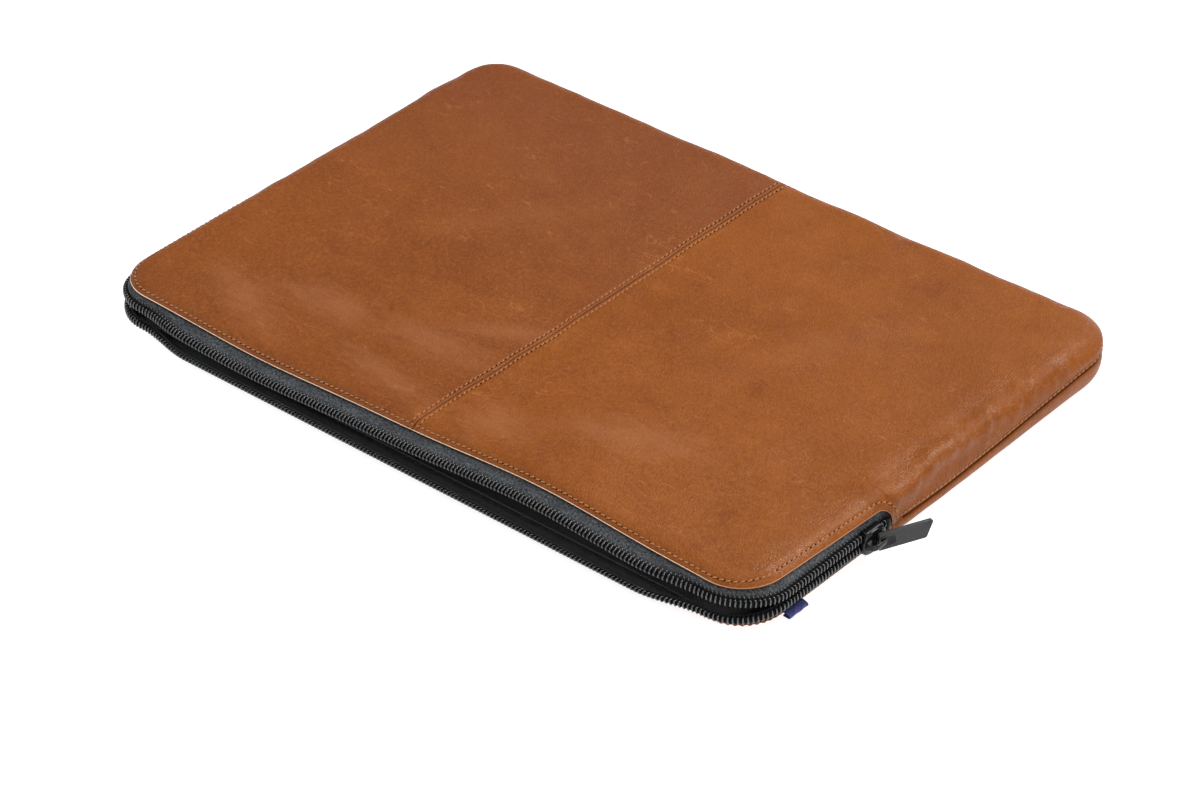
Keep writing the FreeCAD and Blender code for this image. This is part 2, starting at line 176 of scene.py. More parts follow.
def skin_shape(upper):
    """Radius of the skin's roll, direction it faces, and height of its flat part."""
    return (TOP_ROLL, 1.0, TOP_Z) if upper else (BOTTOM_ROLL, -1.0, 0.0)


def section(s, inset, upper):
    """Outward offset, height and normal of the skin at arc length s past the roll's start."""
    radius, up, flat_z = skin_shape(upper)
    theta = np.clip(s / radius, 0, math.pi / 2)
    r = radius - inset
    past = np.maximum(0.0, s - radius * math.pi / 2)
    out = -radius + r * np.sin(theta) + np.minimum(0.0, s)
    z = flat_z - up * radius + up * (r * np.cos(theta) - past)
    return out, z, np.sin(theta), up * np.cos(theta)


def arc_at_height(z, upper):
    """Arc length past the roll's start at which the skin is at height z."""
    radius, up, flat_z = skin_shape(upper)
    h = (z - (flat_z - up * radius)) * up
    rolled = radius * np.arccos(np.clip(h / radius, -1, 1))
    return np.where(h > 0, rolled, radius * math.pi / 2 - h)


# Relief of the leather. A site holds, for each point, its plan place x and y, the arc
# length s past the roll's start, the distance e to the edge, the distance h to the zip's
# slot, the outline length u, and closed, which is 1 on the sides with no zip.

def row_inset(u, upper=True):
    """Distance of the mouth's stitch row from the edge, at outline length u."""
    front = 1 - ease((u - STRAIGHT_FRONT) / ARC)
    return THREAD_INSET - (THREAD_INSET - FRONT_INSET) * front * float(upper)


def hem_distance(y, s, e, upper):
    """Distance to the slot's edge over the unrolled skin, round the slot's rear end too."""
    middle = arc_at_height(SLOT_MIDDLE, upper)
    lip = arc_at_height(SLOT_SIDE if upper else SLOT_LOW, upper)
    past, rise = np.maximum(y - SLOT_ARC_Y, 0.0), middle - s
    away = np.hypot(past, rise)
    lean = np.where(away > 0, rise / np.maximum(away, 1e-6), 1.0) ** 2
    round_end = away - (SLOT_HALF + (middle - lip - SLOT_HALF) * lean)
    return np.where(y > SLOT_ARC_Y, round_end, e)


def closed_share(y):
    return ease((y - ZIP_END_Y - 0.5) / 7.0)


def front_wave(x, y):
    """The mouth's lip sags on the left and stands up right of the middle."""
    lift = 0.4 - 2.6 * bell(x + 85.0, 45.0) + 4.2 * bell(x - 66.0, 48.0)
    ends = 1 - ease((np.abs(x) - 138.0) / 26.0)
    return ends * lift * bell(np.maximum(0.0, y + HALF_D), 62.0)


def wave(x, y, upper):
    """Lift of the upper pieces. The lower ones lie level."""
    return front_wave(x, y) if upper else np.zeros(np.shape(x))


def soft_dents(x, y):
    """Low, wide relief of leather over foam."""
    total = 0.36 * ripples(x, y, 11, 95.0) + 0.30 * ripples(x, y, 12, 40.0)
    total = total + 0.075 * ripples(x, y, 13, 15.0)
    total = total + 0.20 * ripples(x, y * 0.35, 14, 24.0) * ease(-y / 90.0)
    total = total - 0.9 * bell(x + 62.0, 26.0) * bell(y - 66.0, 34.0)
    total = total - 0.7 * bell(x + 40.0, 30.0) * bell(y + 70.0, 16.0)
    total = total + 0.8 * bell(x + 75.0 + 0.5 * y, 14.0) * bell(y + 66.0, 24.0)
    total = total + 0.6 * bell(x - 45.0 + 0.3 * y, 14.0) * bell(y + 78.0, 26.0)
    return total - 0.5 * bell(x - 82.0 - 0.6 * y, 18.0) * bell(y + 50.0, 30.0)


def seam_relief(x, y):
    """Groove of the centre seam, with the puffs and puckers beside its two stitch rows."""
    a = np.abs(x)
    beat = np.cos(math.tau * y / STITCH)
    total = -0.24 * bell(a, 0.36)
    total = total + 0.10 * bell(a - 1.0, 0.6) * (1 + 0.35 * beat)
    total = total - (0.17 + 0.12 * beat) * bell(a - CENTRE_ROW, 0.42)
    total = total + 0.08 * bell(a - 3.4, 1.1) * (1 - 0.5 * beat)
    gathers = ripples(x * 0.18, y + 0.25 * x, 21, 9.0) + 0.6 * ripples(x * 0.2, y, 22, 4.6)
    return total + 0.17 * gathers * np.exp(-a / 9.0) * ease((a - 1.2) / 2.5)


def hem_relief(site):
    """Folded edge round the slot: a flat strip outside the stitch row, then a slight puff."""
    h, u = site.h, site.u
    beat = np.cos(math.tau * u / STITCH)
    h = h + THREAD_INSET - row_inset(u)
    strip = 0.06 * ease((2.8 - h) / 0.6)
    row = (0.17 + 0.10 * beat) * bell(h - THREAD_INSET, 0.45)
    puff = 0.06 * bell(h - 5.2, 1.7) * (1 - 0.5 * beat)
    tug = 0.06 * ripples(u, h * 0.4, 31, 6.5) * bell(h - 3.6, 3.0)
    return strip - row + puff + tug


# The slack leather's crest: y, and arc length past the roll's start
CREST = ((-33.0, 8.6), (-20.0, 8.8), (2.0, 5.2), (16.0, 7.2), (34.0, 6.0), (52.0, 6.0), (74.0, 5.0),
         (100.0, 4.0))
# Folds across the right-hand roll: arc length, y, height, width and length of each
FOLDS = (
    (7.5, -15.0, 0.45, 2.6, 5.0), (4.0, -3.0, 0.40, 2.4, 6.0), (5.5, 9.0, 0.50, 2.6, 5.5),
    (4.0, 21.0, 0.55, 2.4, 5.0), (5.7, 32.0, 0.95, 2.6, 4.5), (3.0, 41.0, 0.45, 2.2, 5.0),
    (6.0, 51.0, 1.05, 3.0, 5.0), (4.2, 62.0, 0.40, 2.0, 5.0), (4.5, 70.0, 0.55, 1.9, 5.5),
    (5.5, 75.5, 0.50, 1.8, 5.0), (7.0, 83.0, 0.65, 2.0, 4.5), (8.0, 88.0, 0.40, 1.8, 4.0),
    (5.0, 98.0, 0.45, 2.2, 5.0),
)


def gather_relief(site):
    """Crest, hollow and slanting folds of the slack leather along the right-hand side."""
    x, y, s = site.x, site.y, site.s
    right = ease((x - 120.0) / 25.0)
    near = ease((y - ZIP_END_Y + 4.0) / 9.0) * ease((site.h - 3.2) / 3.0)
    knots = np.array(CREST)
    line = np.interp(y, knots[:, 0], knots[:, 1])
    fade = ease((120.0 - y) / 70.0)
    ridge = (0.45 + 0.75 * ease((45.0 - y) / 60.0)) * bell(s - line, 3.6) * fade
    hollow = -(0.20 + 0.80 * ease((48.0 - y) / 50.0)) * bell(s - line - 6.2, 3.4) * fade
    inner = -0.55 * bell(s - line + 8.0, 4.0) * ease((70.0 - y) / 60.0)
    total = ridge + hollow + inner
    for at, along, height, width, length in FOLDS:
        slant = (y - along) + 0.75 * (s - at)
        pair = bell(slant, width) - 0.75 * bell(slant - 1.35 * width, 0.8 * width)
        total = total + 1.1 * height * pair * bell(s - at, length) * ease((s + 2.0) / 6.0)
    slant = y + 0.75 * s
    total = total + 0.09 * ripples(slant, s * 0.18, 43, 5.2) * bell(s - 5.0, 6.0) * fade
    return right * near * total


def seam_lift(site, z):
    """On the right-hand side the closed seam climbs towards the back corner."""
    climb = 6.0 * ease((site.y + 5.0) / 125.0) - 1.3 * ease((site.y - ZIP_END_Y) / 12.0)
    reach = np.where(z < SEAM_Z, z / SEAM_Z, ease((TOP_Z - z) / (TOP_Z - SEAM_Z)))
    return climb * ease((site.x - 70.0) / 80.0) * ease((site.s + 4.0) / 8.0) * reach


def side_relief(site):
    """Uneven roll of the closed sides, and the leather turned in at their seam."""
    around = site.x * 0.9 + site.y
    rest = 0.34 * ripples(around, site.s * 0.5, 41, 30.0)
    rest = rest + 0.15 * ripples(around, site.s * 0.4, 42, 11.0)
    beat = 1 + 0.35 * np.cos(math.tau * site.u / STITCH)
    row = 0.30 * beat * bell(site.e - SEAM_ROW, 0.5) + 0.9 * (1 - ease(site.e / 1.3))
    return site.closed * (rest * bell(site.s - 3.0, 8.0) - row)


def under_relief(site):
    """What the layers under the top leather share with it."""
    flat = ease((site.e - 4.0) / 12.0)
    edge = site.closed * 0.34 * ripples(site.x * 0.9 + site.y, site.s * 0.5, 41, 30.0)
    return flat * soft_dents(site.x, site.y) + gather_relief(site) + edge * bell(site.s - 3.0, 8.0)


def top_relief(site):
    """Millimetres along the skin's normal."""
    flat = ease((site.e - 4.0) / 12.0) * soft_dents(site.x, site.y)
    return flat + seam_relief(site.x, site.y) + hem_relief(site) + gather_relief(site) + side_relief(site)


def bottom_relief(site):
    rest = 0.07 * ripples(site.x * 0.9 + site.y, site.s, 52, 18.0) * bell(site.s - 6.0, 4.0)
    tuck = 0.9 * (1 - ease(site.e / 1.3))
    lip = -0.8 * ease((5.0 - site.h) / 3.0)
    row = -0.2 * bell(site.h - THREAD_INSET, 0.42) * ease((site.s - 1.5) / 2.0)
    return site.closed * (rest - tuck) + lip + row


# Shells: an inner grid, a ring of radial lines down the roll, and a rounded rim

def grid_columns():
    near = [0.0, 0.3, 0.6, 0.9, 1.25, 1.6, 2.0, 2.4, 2.8, 3.4, 4.2, 5.2, 6.3, 7.5, 8.8]
    middle = np.arange(10.2, CORE_X - CORNER_CORE - 0.8, 1.5)
    corner = np.linspace(CORE_X - CORNER_CORE, CORE_X, 17)
    return np.concatenate([near, middle, corner])


def grid_rows():
    corner = np.linspace(-CORE_Y, -CORE_Y + CORNER_CORE, 20)[:-1]
    straight = np.arange(-CORE_Y + CORNER_CORE, CORE_Y - CORNER_CORE - 0.5, STITCH / 2)
    back = np.linspace(CORE_Y - CORNER_CORE, CORE_Y, 20)
    arc = ZIP_END_Y - np.array([0.0, 0.03, 0.2, 0.5, 1.0, 1.7, 2.6, 3.7, 5.0, 6.4, 7.75])
    keep = [y for y in straight if np.abs(arc - y).min() > 0.45]
    return np.sort(np.concatenate([corner, keep, back, arc]))


def feed(core):
    """Distance from a corner's middle along the outline, from the distance along the grid."""
    scale = (ARC / 2 + CORNER_CORE + 24.0 - CORNER_R) / CORNER_CORE
    return np.where(core < CORNER_CORE, core * scale, core - CORNER_CORE + scale * CORNER_CORE)


FINE_EDGE = [0.0, 0.35, 0.8, 1.3, 1.8, 2.3, 2.65, 3.0, 3.35, 3.8, 4.5, 5.5]
COARSE_STEPS = 24


class Half:
    """One half, left or right, of a shell. Holds outer points, normals, sizes and faces."""

    def __init__(self, side, upper, inset, setback, cut):
        xs, ys = grid_columns(), grid_rows()
        nx, ny = len(xs), len(ys)
        radius, up, flat_z = skin_shape(upper)
        quarter = STRAIGHT_FRONT + ARC / 2
        u_cols = quarter - feed(CORE_X - xs)
        u_rows = np.where(ys < 0, quarter + feed(CORE_Y + ys), HALF_OUTLINE - quarter - feed(CORE_Y - ys))
        grid = np.arange(nx * ny).reshape(nx, ny)
        stations = np.concatenate([u_cols, u_rows[1:], (HALF_OUTLINE - u_cols)[::-1][1:]])
        first = np.concatenate([grid[:, 0], grid[-1, 1:], grid[::-1, -1][1:]])
        gx, gy = [a.ravel() for a in np.meshgrid(xs, ys, indexing="ij")]
        px, py, pnx, pny = outline(stations)
        short = cut * (1 - closed_share(py))
        s_edge = arc_at_height(edge_height(py, upper, setback), upper) - short
        fine = np.array(FINE_EDGE)[::-1]
        coarse = np.linspace(1.0, 0.0, COARSE_STEPS, endpoint=False)
        count, steps = len(stations), len(coarse) + len(fine)

        def wide(values):
            return np.repeat(values[:, None], steps, 1)

        def join(inner, outer):
            return np.concatenate([inner, outer[:, 1:].ravel()])

        e = np.concatenate([
            fine[0] + (CORE_GAP + s_edge[:, None] - fine[0]) * coarse[None, :],
            np.repeat(fine[None, :], count, 0)], axis=1)
        s = s_edge[:, None] - e
        out, z, n_out, n_up = section(s, inset, upper)
        share = np.clip((s + CORE_GAP) / CORE_GAP, 0, 1)
        places = []
        for core, at, normal in ((gx[first], px, pnx), (gy[first], py, pny)):
            core, start = core[:, None], (at - radius * normal)[:, None]
            places.append(np.where(s < 0, core + (start - core) * share, at[:, None] + normal[:, None] * out))
        ring = np.empty((count, steps), int)
        ring[:, 0] = first
        ring[:, 1:] = nx * ny + np.arange(count * (steps - 1)).reshape(count, steps - 1)
        flat = np.ones(nx * ny)
        self.x = join(gx, places[0]) * side
        self.y = join(gy, places[1])
        self.z = join(flat * (flat_z - up * inset), z)
        self.s = join(-CORE_GAP * flat - 5.0, s)
        self.e = join(40.0 * flat, e)
        self.u = join(gy, wide(stations))
        self.h = join(40.0 * flat, hem_distance(wide(py), s, e + short[:, None], upper))
        self.closed = join(flat * 0, wide(closed_share(py)))
        self.normal = np.stack([
            join(flat * 0, wide(pnx) * n_out) * side,
            join(flat * 0, wide(pny) * n_out),
            join(flat * up, n_up)], axis=1)
        self.outward = np.stack([
            join(flat * 0, wide(pnx) * np.abs(n_up)) * side,
            join(flat * 0, wide(pny) * np.abs(n_up)),
            join(flat * 0, -up * n_out)], axis=1)
        self.ring, self.grid, self.upper = ring, grid, upper
        self.faces = quads(grid) + quads(ring)


def quads(grid):
    a, b = grid[:-1, :-1].ravel(), grid[1:, :-1].ravel()
    c, d = grid[1:, 1:].ravel(), grid[:-1, 1:].ravel()
    return np.stack([a, b, c, d], axis=1).tolist()


def sheet_faces(rows, columns):
    """Faces of a closed sheet: a grid of outer points, then the same grid of inner ones."""
    count = rows * columns
    grid = np.arange(count).reshape(rows, columns)
    loop = np.concatenate([grid[0], grid[1:, -1], grid[-1, -2::-1], grid[-2::-1, 0]])
    flat = quads(grid)
    return flat + [[i + count for i in f[::-1]] for f in flat] + quads(np.stack([loop, loop + count], axis=1))


def tube_faces(count, sides, start):
    """Faces of a closed tube of rings, its points numbered from start."""
    grid = start + np.arange(count * sides).reshape(count, sides)
    grid = np.concatenate([grid, grid[:, :1]], axis=1)
    return quads(grid) + [grid[0, :-1].tolist(), grid[-1, -2::-1].tolist()]


RIM_STEPS = 6


def shell_arrays(half, relief, thick):
    """Points, faces, edge marks, rim rows and middle line of one half shell."""
    base = np.stack([half.x, half.y, half.z], axis=1)
    lift = wave(half.x, half.y, half.upper) + seam_lift(half, half.z)
    outer = base + (half.normal * relief(half)[:, None] + UP * lift[:, None])
    depth = thick(half)
    count = len(outer)
    faces = list(half.faces) + [[count + i for i in f[::-1]] for f in half.faces]
    rim = half.ring[:, -1]
    centre = outer[rim] - half.normal[rim] * depth[rim][:, None] / 2
    rows, extra = [rim], []
    for step in range(1, RIM_STEPS):
        angle = math.pi * step / RIM_STEPS
        lean = half.normal[rim] * math.cos(angle) + half.outward[rim] * math.sin(angle)
        rows.append(2 * count + (step - 1) * len(rim) + np.arange(len(rim)))
        extra.append(centre + lean * depth[rim][:, None] / 2)
    rows.append(rim + count)
    faces += quads(np.stack(rows, axis=1))
    middle = np.concatenate([half.ring[0, ::-1], half.grid[0, 1:], half.ring[-1, 1:]])
    points = np.concatenate([outer, outer - half.normal * depth[:, None]] + extra)
    shut = 50.0 * (1 - half.closed)
    marks = [-1.0 * step - 8.0 * half.closed[rim] for step in range(1, RIM_STEPS)]
    edge = np.concatenate([half.h, np.full(count, -8.0)] + marks)
    seam = np.concatenate([half.e + shut, np.full(count, 60.0)] + [shut[rim]] * len(extra))
    return points, faces, edge, seam, rows, middle, count


def build(name, points, faces, material, attributes=None, fix=True):
    """Mesh object from millimetre points. Attributes are lists of one value per point."""
    mesh = bpy.data.meshes.new(name)
    mesh.from_pydata((np.asarray(points) * MM).tolist(), [], faces)
    rest = mesh.attributes.new("rest", "FLOAT_VECTOR", "POINT")
    rest.data.foreach_set("vector", np.asarray(points, np.float32).ravel())
    for key, values in (attributes or {}).items():
        layer = mesh.attributes.new(key, "FLOAT", "POINT")
        layer.data.foreach_set("value", np.asarray(values, np.float32))
    if fix:
        face_outwards(mesh, 2e-6)
    mesh.update()
    obj = bpy.data.objects.new(name, mesh)
    bpy.context.scene.collection.objects.link(obj)
    mesh.materials.append(material)
    mesh.polygons.foreach_set("use_smooth", [len(face.vertices) < 5 for face in mesh.polygons])
    return obj


def face_outwards(mesh, weld=None):
    """Turns all faces outwards, after welding points that are nearer than weld, in metres."""
    work = bmesh.new()
    work.from_mesh(mesh)
    if weld:
        bmesh.ops.remove_doubles(work, verts=work.verts, dist=weld)
    bmesh.ops.recalc_face_normals(work, faces=work.faces)
    work.to_mesh(mesh)
    work.free()


def shell(name, sides, upper, inset, setback, relief, thick, material, gap=0.0, cut=0.0):
    """Closed shell over the left half, the right half, or both welded at the middle."""
    points, faces, edges, seams = [], [], [], []
    start = 0
    for side in sides:
        half = Half(side, upper, inset, setback, cut)
        pts, fcs, edge, seam, rows, middle, count = shell_arrays(half, relief, thick)
        if len(sides) == 1:
            pts[:, 0] += side * gap * bell(pts[:, 0], 1.0)
            fcs += quads(np.stack([middle, middle + count], axis=1))
            fcs += [[row[0] for row in rows], [row[-1] for row in rows]]
        points.append(pts)
        edges.append(edge)
        seams.append(seam)
        faces += [[start + i for i in f] for f in fcs]
        start += len(pts)
    return build(name, np.concatenate(points), faces, material,
                 attributes={"edge": np.concatenate(edges), "seam": np.concatenate(seams)})


# Materials

class Look:
    """A node material in the making, with short ways to add its nodes."""

    def __init__(self, name):
        self.material = bpy.data.materials.new(name)
        self.material.use_nodes = True
        self.tree = self.material.node_tree
        self.tree.nodes.clear()
        output = self.add("OutputMaterial")
        self.shader = self.add("BsdfPrincipled")
        self.plug(output.inputs[0], self.shader.outputs[0])

    def plug(self, socket, value):
        """Links a socket, or sets it. A colour is given as three numbers."""
        if isinstance(value, bpy.types.NodeSocket):
            self.tree.links.new(value, socket)
        elif socket.type == "RGBA":
            socket.default_value = (*value, 1.0)
        else:
            socket.default_value = value

    def add(self, kind, inputs=None, **settings):
        made = self.tree.nodes.new("ShaderNode" + kind)
        for key, value in settings.items():
            setattr(made, key, value)
        for key, value in (inputs or {}).items():
            self.plug(made.inputs[key], value)
        return made

    def finish(self, inputs):
        """Fills the shader's own sockets."""
        for key, value in inputs.items():
            self.plug(self.shader.inputs[key], value)
        return self.material

    def attribute(self, name, output="Fac"):
        return self.add("Attribute", attribute_name=name).outputs[output]

    def rest(self):
        return self.attribute("rest", "Vector")

    def split(self, vector):
        return self.add("SeparateXYZ", {0: vector}).outputs

    def math(self, operation, a, b=0.0, c=0.0, clamp=False):
        return self.add("Math", {0: a, 1: b, 2: c}, operation=operation, use_clamp=clamp).outputs[0]

    def fold(self, operation, values):
        total = values[0]
        for value in values[1:]:
            total = self.math(operation, total, value)
        return total

    def times(self, *values):
        return self.fold("MULTIPLY", values)

    def most(self, *values):
        return self.fold("MAXIMUM", values)

    def remap(self, value, low, high, to_low=0.0, to_high=1.0):
        inputs = {0: value, 1: low, 2: high, 3: to_low, 4: to_high}
        return self.add("MapRange", inputs, interpolation_type="SMOOTHSTEP").outputs[0]

    def mix(self, share, a, b):
        return self.add("Mix", {0: share, 6: a, 7: b}, data_type="RGBA").outputs[2]

    def noise(self, vector, size, detail=3.0, rough=0.55):
        inputs = {"Vector": vector, "Scale": 1.0 / size, "Detail": detail, "Roughness": rough}
        return self.add("TexNoise", inputs).outputs[0]

    def stretched(self, vector, scale, turn):
        return self.add("Mapping", {0: vector, 2: (0.0, 0.0, turn), 3: scale}).outputs[0]

    def cells(self, vector, scale, feature):
        inputs = {"Vector": vector, "Scale": scale, "Randomness": 1.0}
        return self.add("TexVoronoi", inputs, feature=feature).outputs["Distance"]

    def bump(self, height, strength, distance, before=None):
        inputs = {"Height": height, "Strength": strength, "Distance": distance * MM}
        if before is not None:
            inputs["Normal"] = before
        return self.add("Bump", inputs).outputs[0]


# Patches of painted sheen on the top leather, paler where a lamp's sheen would catch the dents: middle x and
# y, half length, half width and turn
SHEEN_PATCHES = (
    (-36.0, -68.0, 46.0, 12.0, 0.07), (-32.0, -97.0, 38.0, 9.0, -0.2), (26.0, -96.0, 24.0, 16.0, 0.0),
    (-14.0, -44.0, 30.0, 7.0, 0.5), (-114.0, -92.0, 34.0, 13.0, -0.35), (-84.0, -72.0, 36.0, 13.0, 0.1),
    (70.0, -70.0, 40.0, 15.0, 0.4), (-70.0, 20.0, 46.0, 13.0, 0.9), (90.0, 30.0, 50.0, 15.0, 1.1),
)
# Sets of fine pale creases: turn of their grain, stretch along it, and size of the places that have them
CREASES = ((0.6, 0.30, 19.0), (1.9, 0.28, 23.0), (2.7, 0.4, 27.0))


def painted_sheen_patches(look, at):
    """Soft oval patches of painted sheen, with ragged, streaky rims, on the top side only."""
    streaks = look.noise(look.stretched(at, (0.30, 1.0, 1.0), 0.4), 4.5, 5.0, 0.70)
    patches = []
    for x, y, length, width, turn in SHEEN_PATCHES:
        inputs = {0: at, 1: (x, y, 0.0), 2: (0.0, 0.0, turn), 3: (length, width, 1000.0)}
        local = look.add("Mapping", inputs, vector_type="TEXTURE").outputs[0]
        away = look.add("VectorMath", {0: local}, operation="LENGTH").outputs["Value"]
        away = look.math("MULTIPLY_ADD", streaks, -1.9, look.math("ADD", away, 0.95))
        patches.append(look.remap(away, 1.25, -0.25))
    _, y, z = look.split(at)
    return look.times(look.most(*patches), look.remap(y, 0.0, -60.0, 0.4, 1.0), look.remap(z, 12.0, 16.0))


def creases(look, at):
    lines = []
    for turn, stretch, place_size in CREASES:
        level = look.noise(look.stretched(at, (stretch, 1.0, 1.0), turn), 13.0, 2.5, 0.55)
        away = look.math("ABSOLUTE", look.math("SUBTRACT", level, 0.5))
        sparse = look.remap(look.noise(at, place_size, 2.0), 0.56, 0.66)
        lines.append(look.times(look.remap(away, 0.0, 0.009, 1.0, 0.0), sparse))
    return look.most(*lines)


def leather_material():
    look = Look("cognac_leather")
    at, edge = look.rest(), look.attribute("edge")
    x, y, z = look.split(at)
    broad, middle = look.noise(at, 70.0, 3.0, 0.6), look.noise(at, 16.0, 4.0, 0.62)
    fine, calm = look.noise(at, 1.7, 4.0, 0.75), look.remap(y, -40.0, 90.0, 0.62, 0.36)
    # Painted shade and haze on the left panel, deeper towards the back
    left_panel_painted_shade = look.times(look.remap(x, 0.1, -0.1), look.remap(y, -40.0, 100.0, 0.20, 0.46))
    crease = creases(look, at)
    # Painted highlight along the top of the upper lip's rim, partly rubbed wear; it fades towards the
    # right-hand end
    lip_highlight_and_wear = look.times(look.remap(edge, 0.0, -0.35), look.remap(edge, -1.15, -0.80),
                          look.remap(x, 125.0, 166.0, 1.0, 0.22), look.remap(z, 10.0, 13.0))
    # Darkened: the cut edge under the lip (edge paint, and painted shade under the rim), the turned-in seam,
    # the lower lip's edge (edge paint, and painted shade under the lower coil) and the centre seam's joint
    # line, with painted shade in its groove
    dark = look.most(
        look.times(look.remap(edge, -1.20, -1.50), look.remap(edge, -7.5, -6.0)),
        look.remap(look.attribute("seam"), 0.95, 0.35),
        look.times(look.remap(edge, 1.6, 0.4), look.remap(z, 5.5, 4.0)),
        look.times(look.remap(look.math("ABSOLUTE", x), 0.50, 0.10), look.remap(z, 11.0, 13.0), 0.45))
    base = look.mix(look.remap(broad, 0.35, 0.65), (0.190, 0.0485, 0.0052), (0.215, 0.0575, 0.0066))
    for share, colour in (
        (look.remap(middle, 0.45, 0.75, 0.0, 0.65), (0.250, 0.0715, 0.0095)),
        (look.remap(middle, 0.45, 0.25, 0.0, 0.62), (0.150, 0.0350, 0.0036)),
        (left_panel_painted_shade, (0.140, 0.0395, 0.0200)),
        (look.times(look.remap(fine, 0.48, 0.72), calm), (0.290, 0.0920, 0.0160)),
        (look.times(look.remap(fine, 0.50, 0.28), calm), (0.130, 0.0290, 0.0028)),
        (look.times(painted_sheen_patches(look, at), 0.60), (0.285, 0.100, 0.037)),
        (look.times(crease, 0.34), (0.40, 0.150, 0.045)),
        (lip_highlight_and_wear, (1.0, 0.76, 0.58)),
        # Edge paint and painted shade, as listed above
        (look.times(dark, 0.8), (0.045, 0.015, 0.006)),
    ):
        base = look.mix(share, base, colour)
    # Polish on the crest along the right-hand side
    crest = look.times(look.remap(x, 150.0, 161.0), look.remap(z, 14.0, 18.0),
                       look.remap(look.noise(at, 15.0, 2.0), 0.42, 0.60), look.remap(y, 100.0, 80.0))
    rough = look.remap(look.noise(at, 9.0, 4.0, 0.65), 0.3, 0.7, 0.38, 0.52)
    shine = look.math("MULTIPLY_ADD", lip_highlight_and_wear, 0.6, look.math("MULTIPLY_ADD", crest, 0.15, 0.20))
    pebbles = look.remap(look.cells(at, 0.8, "DISTANCE_TO_EDGE"), 0.0, 0.22)
    shape = None
    for height, strength, distance in (
        (look.noise(at, 5.0, 3.0, 0.6), 0.35, 0.5),
        (look.noise(look.stretched(at, (0.3, 1.0, 1.0), 0.5), 2.4, 3.0, 0.6), 0.30, 0.35),
        (look.times(pebbles, look.math("MULTIPLY_ADD", crest, 0.3, 1.0)), 0.50, 0.18),
        (look.remap(look.cells(at, 1.5, "F1"), 0.0, 0.35), 0.35, 0.12),
        (crease, 0.25, -0.12),
    ):
        shape = look.bump(height, strength, distance, shape)
    return look.finish({
        "Base Color": base,
        "Roughness": look.math("MULTIPLY_ADD", crest, -0.10, rough),
        "Specular IOR Level": look.times(shine, look.remap(dark, 0.15, 0.60, 1.0, 0.08)),
        "Specular Tint": (1.0, 0.82, 0.66),
        "Normal": shape,
    })


def cloth_material(name, dark, light, pitch, rough=0.85, use_uv=False, sheen=0.0, speckle=0.4):
    """Weave of two crossed sets of rounded threads, with lighter and darker threads at random."""
    look = Look(name)
    at = look.add("UVMap", uv_map="weave").outputs[0] if use_uv else look.rest()
    x, y, _ = look.split(at)
    sets = []
    for sign in (1.0, -1.0):
        across = look.math("MULTIPLY_ADD", y, sign, x)
        sets.append(look.math("SINE", look.times(across, math.tau / pitch)))
    height = look.times(*sets)
    fleck = look.noise(at, pitch * 0.8, 2.0, 0.8)
    worn = look.noise(at, pitch * 7.0, 3.0, 0.6)
    share = look.math("MULTIPLY_ADD", height, 0.5 - speckle / 2, 0.42)
    share = look.math("ADD", share, look.remap(fleck, 0.30, 0.70, -speckle, speckle))
    share = look.math("MULTIPLY", share, look.remap(worn, 0.3, 0.7, 0.7, 1.25), clamp=True)
    # On a zip tape the weave is painted darker within about 3 to 5 mm of its free edge: painted shade under
    # the coil and between its loops
    if use_uv:
        share = look.times(share, look.remap(y, 3.0, 5.2, 0.10, 1.0))
    return look.finish({
        "Base Color": look.mix(share, dark, light),
        "Roughness": rough,
        "Specular IOR Level": 0.25,
        "Sheen Weight": sheen,
        "Normal": look.bump(look.math("ADD", height, fleck), 0.6, 0.12),
    })


def gloss_material(name, colour, rough, coat, specular, fleck=0.06):
    look = Look(name)
    at = look.rest()
    fine = look.noise(at, 0.6, 4.0, 0.6)
    lighter = tuple(1.6 * c for c in colour)
    return look.finish({
        "Base Color": look.mix(look.remap(fine, 0.3, 0.8), colour, lighter),
        "Roughness": look.remap(look.noise(at, 2.2, 3.0), 0.3, 0.7, rough * 0.8, rough * 1.25),
        "Specular IOR Level": specular,
        "Coat Weight": coat,
        "Coat Roughness": rough * 0.5,
        "Normal": look.bump(fine, fleck, 0.05),
    })


def thread_material():
    look = Look("sewing_thread")
    inputs = {"Vector": look.rest(), "Scale": 1.2, "Distortion": 1.0}
    twist = look.add("TexWave", inputs, bands_direction="DIAGONAL").outputs["Fac"]
    return look.finish({
        "Base Color": look.mix(twist, (0.27, 0.095, 0.026), (0.43, 0.175, 0.060)),
        "Roughness": 0.6,
        "Normal": look.bump(twist, 0.5, 0.06),
    })


# Dark lenses over the needle holes: painted shade in the holes
def needle_hole_shade_material():
    look = Look("needle_hole")
    share = look.noise(look.rest(), 0.4)
    return look.finish({
        "Base Color": look.mix(share, (0.020, 0.007, 0.003), (0.055, 0.018, 0.007)),
        "Roughness": 0.95,
        "Specular IOR Level": 0.0,
    })


leather = leather_material()
lining_cloth = cloth_material("lining_weave", (0.018, 0.018, 0.020), (0.055, 0.055, 0.06), 0.9, sheen=0.3)
foam_skin = cloth_material("foam_skin", (0.10, 0.10, 0.10), (0.2, 0.2, 0.2), 1.4)
backing_cloth = cloth_material("backing_weave", (0.05, 0.045, 0.04), (0.13, 0.12, 0.11), 0.8)
tape_cloth = cloth_material("tape_weave", (0.006, 0.007, 0.009), (0.125, 0.138, 0.152), 1.25, 0.75,
                            use_uv=True, sheen=0.05, speckle=0.45)
tab_cloth = cloth_material("tab_weave", (0.022, 0.026, 0.10), (0.075, 0.082, 0.26), 0.7)
coil_nylon = gloss_material("coil_nylon", (0.018, 0.019, 0.021), 0.18, 0.3, 0.9)
